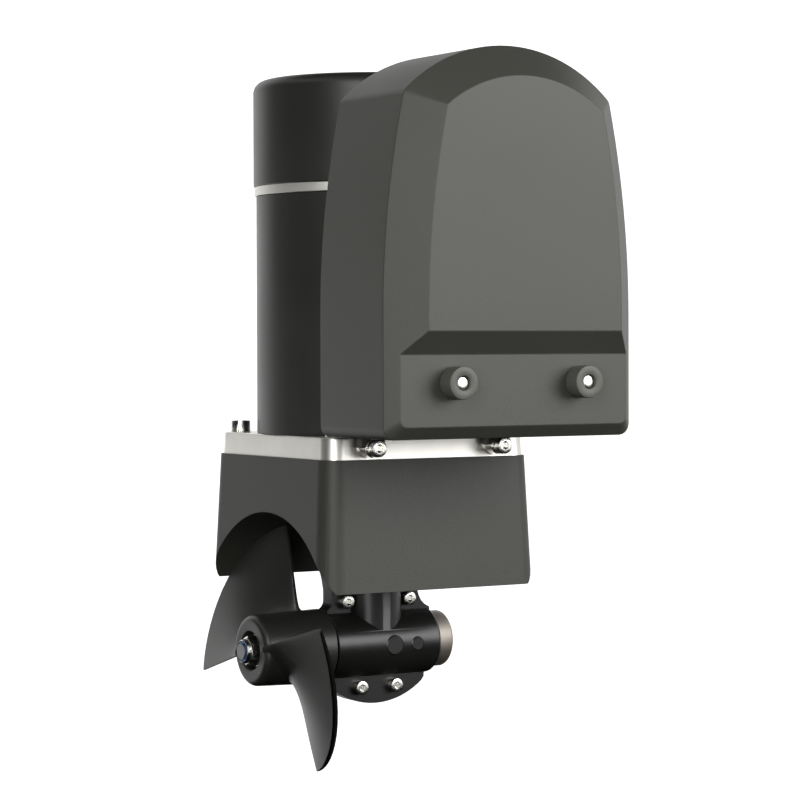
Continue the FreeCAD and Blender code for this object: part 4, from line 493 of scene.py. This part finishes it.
def cap_screw(head_r, head_h, key, top_mm, along, shank_r, shank_length, knurls=0):
    """Socket cap screw: top is the centre of its head's face and along points down the shank."""
    c = head_h * 0.09
    end = head_h + shank_length
    screw = turned([(0, 0), (0, head_r - c), (c * 0.35, head_r - c * 0.3), (c, head_r),
                    (head_h - 0.2, head_r), (head_h, head_r - 0.2), (head_h, shank_r), (end - 0.6, shank_r),
                    (end, shank_r - 0.6), (end, 0)], (0, 0, 0), (0, 0, 1), 72)
    if knurls:
        for vertex in screw.data.vertices:
            radius = math.hypot(vertex.co.x, vertex.co.y) / MM
            if radius > head_r - 0.05 and vertex.co.z / MM < head_h - 0.1:
                angle = math.atan2(vertex.co.y, vertex.co.x)
                share = 1 - 0.022 * (round(angle * knurls / math.pi) % 2)
                vertex.co.x, vertex.co.y = vertex.co.x * share, vertex.co.y * share
    socket = rod_tool(key / math.sqrt(3), (0, 0, -1.0), (0, 0, head_h * 0.55), 6)
    boolean(screw, socket)
    smooth(screw, 30.0)
    turn = Vector(along).to_track_quat("Z", "Y").to_matrix().to_4x4()
    screw.data.transform(Matrix.Translation(Vector(top_mm) * MM) @ turn)
    return screw


def bare_metal(name, bright, dull, roughness, line_mm=0.0, line_axis="Z", blotch=14.0):
    """Bare metal: two tones drifting into each other, with fine tool lines or grain in gloss and height."""
    material = empty_material(name)
    place = add_node(material, "ShaderNodeTexCoord").outputs["Object"]
    drift = noise(material, place, blotch, 4.0)
    if line_mm:
        fine = {"X": (1, 0.02, 0.02), "Y": (0.02, 1, 0.02), "Z": (0.02, 0.02, 1)}[line_axis]
        stretch = add_node(material, "ShaderNodeMapping", {"Scale": fine}, {"Vector": place})
        lines = noise(material, stretch.outputs[0], 1000.0 / line_mm, 2.0)
    else:
        lines = noise(material, place, 1600.0, 2.0)
    return surfaced(material, {"Metallic": 1.0}, (dull, bright), drift, (roughness - 0.06, roughness + 0.08),
                    lines, lines, 0.25, 0.00008)


knob_nylon = moulded("knob_moulded_nylon", "#52534D", "#5B5C55", 0.45, 0.4, 0.3)
stainless = bare_metal("stainless_a4_steel", "#E4E3DE", "#C9C8C2", 0.2, 0.12, "Z")
washer_rubber = moulded("seal_black_rubber", "#1C1C1B", "#232322", 0.62, 0.5, 0.3)
SEAL_BACK = -133.02
KNOB_BACK = -133.85
for side, (knob_x, knob_z) in KNOB_PLACES.items():
    knob = turned([(0, 2.53), (0, 7.3), (0.3, 7.6), (4.0, 7.68), (8.5, 7.66), (8.85, 7.52), (9.0, 7.2),
                   (9.0, 3.8), (8.85, 3.56), (8.6, 3.5), (6.6, 3.5), (6.6, 2.53)],
                  (knob_x, KNOB_BACK, knob_z), (0, -1, 0), 96, closed=True)
    smooth(knob, 40.0)
    take(knob, "knob_%s_body" % side, "knob_" + side, knob_nylon, "knob_black", "knob_" + side)
    screw = cap_screw(2.8, 1.1, 2.5, (knob_x, KNOB_BACK - 7.7, knob_z), (0, 1, 0), 2.5, 18.65)
    take(screw, "knob_%s_screw" % side, "knob_" + side, stainless, "stainless")
    seal = turned([(0, 2.53), (0, 5.8), (0.4, 6.0), (0.78, 5.8), (0.78, 2.53)], (knob_x, SEAL_BACK, knob_z),
                  (0, -1, 0), 64, closed=True)
    take(seal, "knob_%s_seal" % side, "seal_" + side, washer_rubber, "rubber_black", "knob_seal_" + side)


# ---- Motor ---------------------------------------------------------------------------------------
# The motor's steel tube and its pressed end cap are finished in satin black baked enamel, with a bare
# turned aluminium ring clamped between them by four long bolts.
MOTOR_FOOT = 107.0
RING_FOOT = 226.7
CAP_FOOT = 231.4
CAP_TOP = 284.6
CAP_R = 59.0
CAP_ROUND = 6.0
STUD_X = 29.0
STUD_Z = 246.0
BOLT_CIRCLE = 48.3


def baked_enamel(name, base, worn, roughness):
    """Baked enamel on metal: a soft even gloss with slow waviness and a faint orange peel."""
    material = empty_material(name)
    place = add_node(material, "ShaderNodeTexCoord").outputs["Object"]
    wave = noise(material, place, 26.0, 1.0)
    peel = noise(material, place, 900.0, 1.0)
    return surfaced(material, SATIN, (base, worn), wave, (roughness - 0.05, roughness + 0.05), wave,
                    peel, 0.3, 0.00006)


enamel = baked_enamel("motor_baked_enamel", "#252523", "#2C2C29", 0.4)
turned_aluminium = bare_metal("ring_turned_aluminium", "#E2E1DB", "#CECDC6", 0.48, 0.15, "Z")

tube = turned([(0, 51.6), (0, 57.2), (0.4, 57.6), (119.3, 57.6), (119.7, 57.2), (119.7, 51.6)],
              (0, 0, MOTOR_FOOT), (0, 0, 1), 160, closed=True)
smooth(tube)
take(tube, "motor_tube", "thruster", enamel, "motor_black", "motor_yoke")

band = turned([(0, 30.0), (0, 58.1), (0.3, 58.4), (4.4, 58.4), (4.7, 58.1), (4.7, 30.0)],
              (0, 0, RING_FOOT), (0, 0, 1), 160, closed=True)
smooth(band)
take(band, "motor_ring", "thruster", turned_aluminium, "ring_aluminium", "motor_end_ring")

rim = [(CAP_TOP - CAP_FOOT - CAP_ROUND + CAP_ROUND * math.sin(math.radians(a)),
        CAP_R - CAP_ROUND + CAP_ROUND * math.cos(math.radians(a))) for a in range(0, 91, 9)]
cap = turned([(0, 0), (0, CAP_R - 0.4), (0.4, CAP_R), (4.0, CAP_R)] + rim + [(CAP_TOP - CAP_FOOT, 0)],
             (0, 0, CAP_FOOT), (0, 0, 1), 160)
for x in (-STUD_X, STUD_X):
    boolean(cap, rod_tool(9.0, (x, -40.0, STUD_Z), (x, -58.6, STUD_Z)), "UNION")
corner_angles = [math.radians(45 + 90 * corner) for corner in range(4)]
bolt_spots = [(BOLT_CIRCLE * math.cos(angle), BOLT_CIRCLE * math.sin(angle)) for angle in corner_angles]
for spot in bolt_spots:
    boolean(cap, rod_tool(4.75, (*spot, CAP_TOP - 5.4), (*spot, CAP_TOP + 5.0), 48))
take(cap, "motor_end_cap", "thruster", enamel, "motor_black", "motor_cap")
smooth(cap)
bolts = [cap_screw(4.25, 5.0, 4.0, (*spot, CAP_TOP - 0.4), (0, 0, -1), 2.5, 170.0) for spot in bolt_spots]
take(merged(bolts), "motor_long_bolts", "thruster", stainless, "stainless", "motor_tie_bolts")


# ---- Motor plate ---------------------------------------------------------------------------------
# A square adapter plate of gravity-cast aluminium, skimmed on top, carries the motor.  Screws at its
# corners go down into the saddle, and two round bosses on its front edge take the control unit's feet.
PLATE_FOOT = 96.1
PLATE_TOP = 107.0
PLATE_SCREW_XY = 48.75
FOOT_SCREW_X = 36.2
FOOT_SCREW_Z = 101.8


def square_ring(half, corner, z, per_corner=8):
    """Square with round corners at one level, as points in metres."""
    points = []
    for quarter in range(4):
        centre = Vector((half - corner, half - corner, 0))
        for step in range(per_corner + 1):
            angle = math.radians(90.0 * step / per_corner)
            point = centre + Vector((math.cos(angle), math.sin(angle), 0)) * corner
            turned_point = Matrix.Rotation(math.radians(90 * quarter), 3, "Z") @ point
            points.append((turned_point + Vector((0, 0, z))) * MM)
    return points


cast_aluminium = bare_metal("plate_cast_aluminium", "#E2E0DB", "#CFCDC6", 0.36, blotch=60.0)
plate = lofted([square_ring(57.5, 8.5, PLATE_FOOT), square_ring(57.1, 8.5, PLATE_TOP - 1.0),
                square_ring(56.8, 8.2, PLATE_TOP - 0.3), square_ring(56.3, 7.7, PLATE_TOP)])
for x in (-FOOT_SCREW_X, FOOT_SCREW_X):
    boolean(plate, rod_tool(5.0, (x, -52.0, FOOT_SCREW_Z), (x, -58.6, FOOT_SCREW_Z)), "UNION")
take(plate, "adapter_plate", "thruster", cast_aluminium, "plate_aluminium", "motor_plate")
finish_edges(plate, 0.35, 2)

corner_screws = [cap_screw(5.0, 6.0, 5.0, (x, y, PLATE_TOP + 6.0), (0, 0, -1), 3.0, 33.0, 36)
                 for x in (-PLATE_SCREW_XY, PLATE_SCREW_XY)
                 for y in (-PLATE_SCREW_XY, PLATE_SCREW_XY)]
corner_screws += [cap_screw(5.0, 6.0, 5.0, (x, y, PLATE_FOOT + 0.3), (0, 0, 1), 3.0, 14.0)
                  for x, y in ((38, 0), (0, 38), (-38, 0), (0, -38))]
take(merged(corner_screws), "plate_cap_screws", "thruster", stainless, "stainless", "plate_screws")

foot_parts = []
for x in (-FOOT_SCREW_X, FOOT_SCREW_X):
    foot_parts.append(cap_screw(4.25, 5.0, 4.0, (x, -69.4, FOOT_SCREW_Z), (0, 1, 0), 2.5, 23.4, 32))
    foot_parts.append(turned([(0, 2.6), (0, 4.6), (0.15, 4.75), (0.65, 4.75), (0.8, 4.6), (0.8, 2.6)],
                             (x, -64.4, FOOT_SCREW_Z), (0, 1, 0), 64, closed=True))
take(merged(foot_parts), "foot_cap_screws", "thruster", stainless, "stainless", "foot_screws")


# ---- Saddle --------------------------------------------------------------------------------------
# The saddle that straddles the tunnel is a heavy black glass-filled moulding with drafted walls.  Its
# half-round seat takes the tunnel's outside and the leg's spigot comes up through the middle.
SADDLE_FOOT = 31.8
SEAT_R = 68.5
TIP_R = 5.0                 # round on the lower corners of the walls that stand across the tunnel
TIP_X = 56.65
TIP_Z = 36.8
saddle_nylon = moulded("saddle_glass_filled_nylon", "#33332F", "#3A3A35", 0.5, 0.6, 0.4)
saddle = lofted([square_ring(61.89, 11.5, SADDLE_FOOT), square_ring(58.9, 10.0, PLATE_FOOT)])
boolean(saddle, rod_tool(SEAT_R, (-90, 0, 0), (90, 0, 0), 192))
for sign in (-1, 1):
    near, far = sorted((sign * TIP_X, sign * 80.0))
    tip = block_tool((near, -80, 20), (far, 80, TIP_Z + 0.23))
    boolean(tip, rod_tool(TIP_R, (sign * TIP_X, -90, TIP_Z), (sign * TIP_X, 90, TIP_Z), 96))
    boolean(saddle, tip)
boolean(saddle, rod_tool(17.2, (0, 0, 40), (0, 0, 110), 96))
take(saddle, "tunnel_saddle", "thruster", saddle_nylon, "saddle_black", "saddle")
finish_edges(saddle, 0.9, 3)


# ---- Leg -----------------------------------------------------------------------------------------
# The drive leg is two moulded halves screwed together along its middle plane.  A barrel holds the
# propeller shaft, a column rises to the collar that clamps the tunnel, and a thin fin joins them.
LEG_SCREWS = ((18.2, 22.1), (-18.2, 22.1), (10.2, -21.8), (-10.2, -21.8))
LEG_PLUGS = ((4.0, 5.0), (17.4, 3.6))
leg_nylon = moulded("leg_glass_filled_nylon", "#161615", "#1D1D1C", 0.28, 0.5, 0.25)


WEB = 4.6                   # half the thickness of the fin that joins barrel and column
barrel = turned([(0, 0), (0, 16.7), (0.3, 17.0), (58.6, 17.0), (59.4, 16.8), (60.1, 16.3), (60.5, 15.3),
                 (60.5, 0)], (-28.5, 0, 0), (1, 0, 0), 128)
column = turned([(0, 0), (0, 15.3), (34.5, 15.3), (36.5, 15.7), (38, 16.8), (46.5, 25.6), (48.2, 26.8),
                 (50, 27.0), (68, 27.0), (68, 0)], (0, 0, 0), (0, 0, 1), 128)
trim = rod_tool(62.5, (-60, 0, 0), (60, 0, 0), 192)
boolean(column, trim, "INTERSECT")
boolean(barrel, column, "UNION")
boolean(barrel, rod_tool(17.0, (0, 0, 40), (0, 0, 76), 96), "UNION")
quarter = [math.radians(a) for a in range(0, 91, 15)]
left_sweep = [(-30.4 + 4.8 * math.sin(a), 22.5 - 4.8 * math.cos(a)) for a in quarter]
right_sweep = [(33.5 - 9.0 * math.sin(a), 29.0 - 12.0 * math.cos(a)) for a in quarter]
web = prism([(-28.2, 10), (32.0, 10), (32.0, 16.9)] + right_sweep[1:]
            + [(24.5, 50.5), (-28.2, 50.5), (-27.6, 37.4), (-26.5, 32.9), (-25.6, 27.5)]
            + left_sweep[:1:-1] + [(-28.2, 18.0)], WEB, "Y")
boolean(barrel, web, "UNION")
skeg_angles = [math.radians(a) for a in range(-41, 43, 3)]
skeg_bow = [(42.1 * math.sin(a), 11.7 - 42.1 * math.cos(a)) for a in skeg_angles]
skeg = prism([(-27.8, -8), (-27.8, -18.4)] + skeg_bow + [(28.5, -18.6), (28.6, -16.0), (28.4, -8)], WEB, "Y")
boolean(barrel, skeg, "UNION")
for x, z in LEG_SCREWS:
    boolean(barrel, rod_tool(4.4, (x, -WEB, z), (x, WEB, z), 48), "UNION")
for x, z in LEG_SCREWS:
    boolean(barrel, rod_tool(4.0, (x, -40, z), (x, -WEB, z), 48))
    boolean(barrel, rod_tool(4.7, (x, WEB, z), (x, 40, z), 48))
for x, r in LEG_PLUGS:
    boolean(barrel, rod_tool(r + 0.02, (x, -20, 0), (x, -14.4, 0), 64))
boolean(barrel, rod_tool(13.02, (-30, 0, 0), (-27.0, 0, 0), 96))
for side, sign in (("front", 1), ("back", -1)):
    activate(barrel)
    bpy.ops.object.duplicate()
    half = activate(bpy.context.object)
    bpy.ops.object.mode_set(mode="EDIT")
    bpy.ops.mesh.select_all(action="SELECT")
    bpy.ops.mesh.bisect(plane_co=(0, 0, 0), plane_no=(0, sign, 0), use_fill=True, clear_outer=True)
    bpy.ops.object.mode_set(mode="OBJECT")
    take(half, "leg_%s" % side, "thruster", leg_nylon, "leg_black", "leg_%s_half" % side)
    finish_edges(half, 0.45, 2)
bpy.data.objects.remove(barrel)

leg_fixings = [cap_screw(3.5, 4.0, 3.4, (x, -WEB - 4.0, z), (0, 1, 0), 2.0, 13.4) for x, z in LEG_SCREWS]
take(merged(leg_fixings), "leg_cap_screws", "thruster", stainless, "stainless", "leg_screws")

plugs = [turned([(0, 0), (0, r - 0.5), (0.4, r), (2.7, r), (2.7, 0)], (x, -17.25, 0), (0, 1, 0), 64)
         for x, r in LEG_PLUGS]
take(merged(plugs), "oil_level_plugs", "thruster", leg_nylon, "leg_black", "oil_plugs")


# ---- Anode ---------------------------------------------------------------------------------------
# A turned sacrificial disc closes the barrel's end.  It is bare, faintly oxidised zinc, held by one
# recessed stainless screw.
anode_zinc = bare_metal("anode_turned_zinc", "#A39C94", "#857E77", 0.55, 0.2, "X", 40.0)
anode = turned([(0, 2.52), (0, 14.1), (0.2, 14.3), (7.4, 14.3), (8.2, 14.0), (8.8, 13.4), (9.0, 12.6),
                (9.0, 4.65), (3.2, 4.65), (3.2, 2.52)], (32.0, 0, 0), (1, 0, 0), 96, closed=True)
smooth(anode)
take(anode, "sacrificial_anode", "thruster", anode_zinc, "anode_metal", "anode")
anode_bolt = cap_screw(4.25, 5.0, 4.0, (40.2, 0, 0), (-1, 0, 0), 2.5, 10.2)
take(anode_bolt, "anode_cap_screw", "thruster", stainless, "stainless", "anode_screw")


# ---- Propeller -----------------------------------------------------------------------------------
# The propeller is one black composite moulding: a long hub with two broad skewed blades, thick at the
# root and squared off at the tip.  It runs close inside the tunnel.
prop_composite = moulded("propeller_composite", "#222220", "#2A2A28", 0.38, 0.7, 0.35)
BLADE_TIP_R = 62.4
ROOT_R = 18.8
BLADE_START_DEG = -15.0
PITCH = 95.0                # advance in one turn
HUB_NOSE_X = -70.0
HUB_NOSE_ROUND = 3.5


def blade_section(radius, turn_deg):
    """Closed loop of one blade section at a radius, in millimetres, following the screw surface."""
    share = (radius - ROOT_R) / (BLADE_TIP_R - ROOT_R)
    thick = 5.0 - 2.0 * max(0.0, share) + 3.2 * max(0.0, (23.0 - radius) / 5.0) ** 2
    end_deg = 88.0 - 12.5 * max(0.0, share) ** 0.45
    front, rear = [], []
    count = 22
    for i in range(count + 1):
        c = 0.5 - 0.5 * math.cos(math.pi * i / count)
        deg = BLADE_START_DEG + (end_deg - BLADE_START_DEG) * c
        mid = -68.4 + 4.0 * share + PITCH * (deg - BLADE_START_DEG) / 360
        half = (1.3 + (thick - 1.3) * math.sqrt(max(0.0, 4 * c * (1 - c)))) / 2
        angle = math.radians(deg + turn_deg)
        y, z = radius * math.cos(angle), radius * math.sin(angle)
        front.append(Vector((mid - half, y, z)) * MM)
        rear.append(Vector((mid + half, y, z)) * MM)
    return front + rear[::-1]


nose_angles = [math.radians(a) for a in range(0, 91, 10)]
hub_nose = [(HUB_NOSE_X + HUB_NOSE_ROUND * (1 - math.sin(a)), 14.2 + HUB_NOSE_ROUND * math.cos(a))
            for a in nose_angles]
hub_profile = [(-30.0, 5.02), (-30.0, 17.9), (-30.3, 18.5), (-31.0, 18.78)] + hub_nose
hub_profile += [(HUB_NOSE_X, 10.4), (-69.6, 9.8), (-65.0, 9.8), (-65.0, 5.02)]
propeller = turned(hub_profile, (0, 0, 0), (1, 0, 0), 128, closed=True)
blade_radii = [14.5, 17.2, 18.6, 19.6, 20.8, 22.5, 26, 31, 36, 41, 46, 51, 56, 60, 61.8, BLADE_TIP_R]
for turn_deg in (0, 180):
    blade = lofted([blade_section(radius, turn_deg) for radius in blade_radii])
    boolean(propeller, blade, "UNION")
take(propeller, "propeller_moulding", "propeller_shaft", prop_composite, "propeller_black", "propeller")
finish_edges(propeller, 0.35, 2, 40.0)


# ---- Propeller nut and shaft ---------------------------------------------------------------------
# A stainless lock nut with a blue nylon ring crimped in its collar holds the propeller on the shaft's thread.
# The nut, its washer and the drive pin are stainless steel, and the shaft is ground darker steel.
nut_nylon = moulded("nut_blue_nylon", "#2B4F7E", "#35608F", 0.4, 0.3, 0.2)
NUT_BACK = -66.2
NUT_COLLAR = -72.2          # where the hexagon ends and the ring's collar begins
nut = rod_tool(13.0 / math.sqrt(3), (NUT_BACK, 0, 0), (NUT_COLLAR, 0, 0), 6)
chamfer = turned([(0, 0), (0, 6.9), (0.6, 7.6), (5.0, 7.6), (5.6, 7.0), (6.0, 6.3), (7.0, 6.1), (8.0, 5.7),
                  (8.2, 5.4), (8.2, 0)], (NUT_BACK, 0, 0), (-1, 0, 0), 96)
boolean(nut, rod_tool(6.1, (-72.0, 0, 0), (-74.4, 0, 0), 96), "UNION")
boolean(nut, chamfer, "INTERSECT")
boolean(nut, rod_tool(4.0, (-60.0, 0, 0), (-80.0, 0, 0), 64))
boolean(nut, rod_tool(5.4, (NUT_COLLAR, 0, 0), (-80.0, 0, 0), 64))
take(nut, "propeller_lock_nut", "propeller_shaft", stainless, "stainless", "prop_nut")
finish_edges(nut, 0.15, 2)
ring = turned([(0, 4.02), (0, 5.38), (1.6, 5.38), (1.9, 5.1), (1.9, 4.02)], (NUT_COLLAR - 0.02, 0, 0),
              (-1, 0, 0), 64, closed=True)
smooth(ring, 30.0)
take(ring, "lock_nut_nylon_ring", "propeller_shaft", nut_nylon, "stainless")


# ---- Pieces inside -------------------------------------------------------------------------------
# Everything that the hood, the motor and the leg hide keeps its solid's shape: armature, brushes, magnets,
# gears, bearings, contactor and wiring.  Each is dressed as the material it is made of.
steel = bare_metal("machined_steel", "#B4B4B3", "#979796", 0.3, 0.2, "Z")
ground_shaft = bare_metal("ground_shaft_steel", "#8A8C8F", "#74767A", 0.5, 0.15, "X")
copper = bare_metal("drawn_copper", "#C67F5A", "#A96745", 0.32, 0.3, "Z")
brass = bare_metal("turned_brass", "#CDAA63", "#B08D49", 0.3, 0.15, "Z")
laminated_iron = bare_metal("laminated_silicon_steel", "#77777A", "#5C5C5F", 0.42, 0.5, "Z")
phenolic = moulded("brown_phenolic_board", "#5B4029", "#6B4C32", 0.45, 0.8, 0.3)
ferrite = moulded("sintered_ferrite", "#3C3C3E", "#48484A", 0.55, 0.3, 0.4)
carbon_block = moulded("pressed_carbon", "#232323", "#2E2E2E", 0.5, 0.25, 0.4)
red_elastomer = moulded("red_coupling_elastomer", "#8E2318", "#A02B1E", 0.5, 0.5, 0.2)
case_gloss = moulded("contactor_moulded_case", "#1E1E1E", "#262626", 0.3, 0.6, 0.15)
module_case = moulded("control_module_blue_case", "#24385A", "#2C4268", 0.42, 0.5, 0.2)
wire_cover = moulded("wire_red_insulation", "#8F1A14", "#A3221A", 0.4, 0.4, 0.1)
inside = {
    steel: ("armature_shaft", "brush_springs", "coupling_drive_hub", "coupling_motor_hub", "crown_gear",
            "drive_pinion", "drive_shaft", "leg_bearings", "motor_bearings"),
    ground_shaft: ("prop_shaft",),
    stainless: ("prop_washer", "drive_pin", "leg_bolts", "leg_nuts", "terminal_nuts"),
    copper: ("armature_windings", "commutator", "contactor_coils", "contactor_plunger_left",
             "contactor_plunger_right", "motor_straps"),
    brass: ("brush_holders", "cover_posts", "terminal_studs"),
    laminated_iron: ("armature_core",),
    turned_aluminium: ("motor_end_shield",),
    phenolic: ("brush_plate", "stud_insulators"),
    ferrite: ("field_magnets",),
    carbon_block: ("brushes",),
    red_elastomer: ("coupling_spider",),
    case_gloss: ("contactor_case", "contactor_lid"),
    module_case: ("control_module",),
    wire_cover: ("coil_wires",),
    washer_rubber: ("leg_gasket", "leg_seals"),
    saddle_nylon: ("control_base",),
}
for material, names in inside.items():
    for name in names:
        nodes[name].data.materials.clear()
        nodes[name].data.materials.append(material)
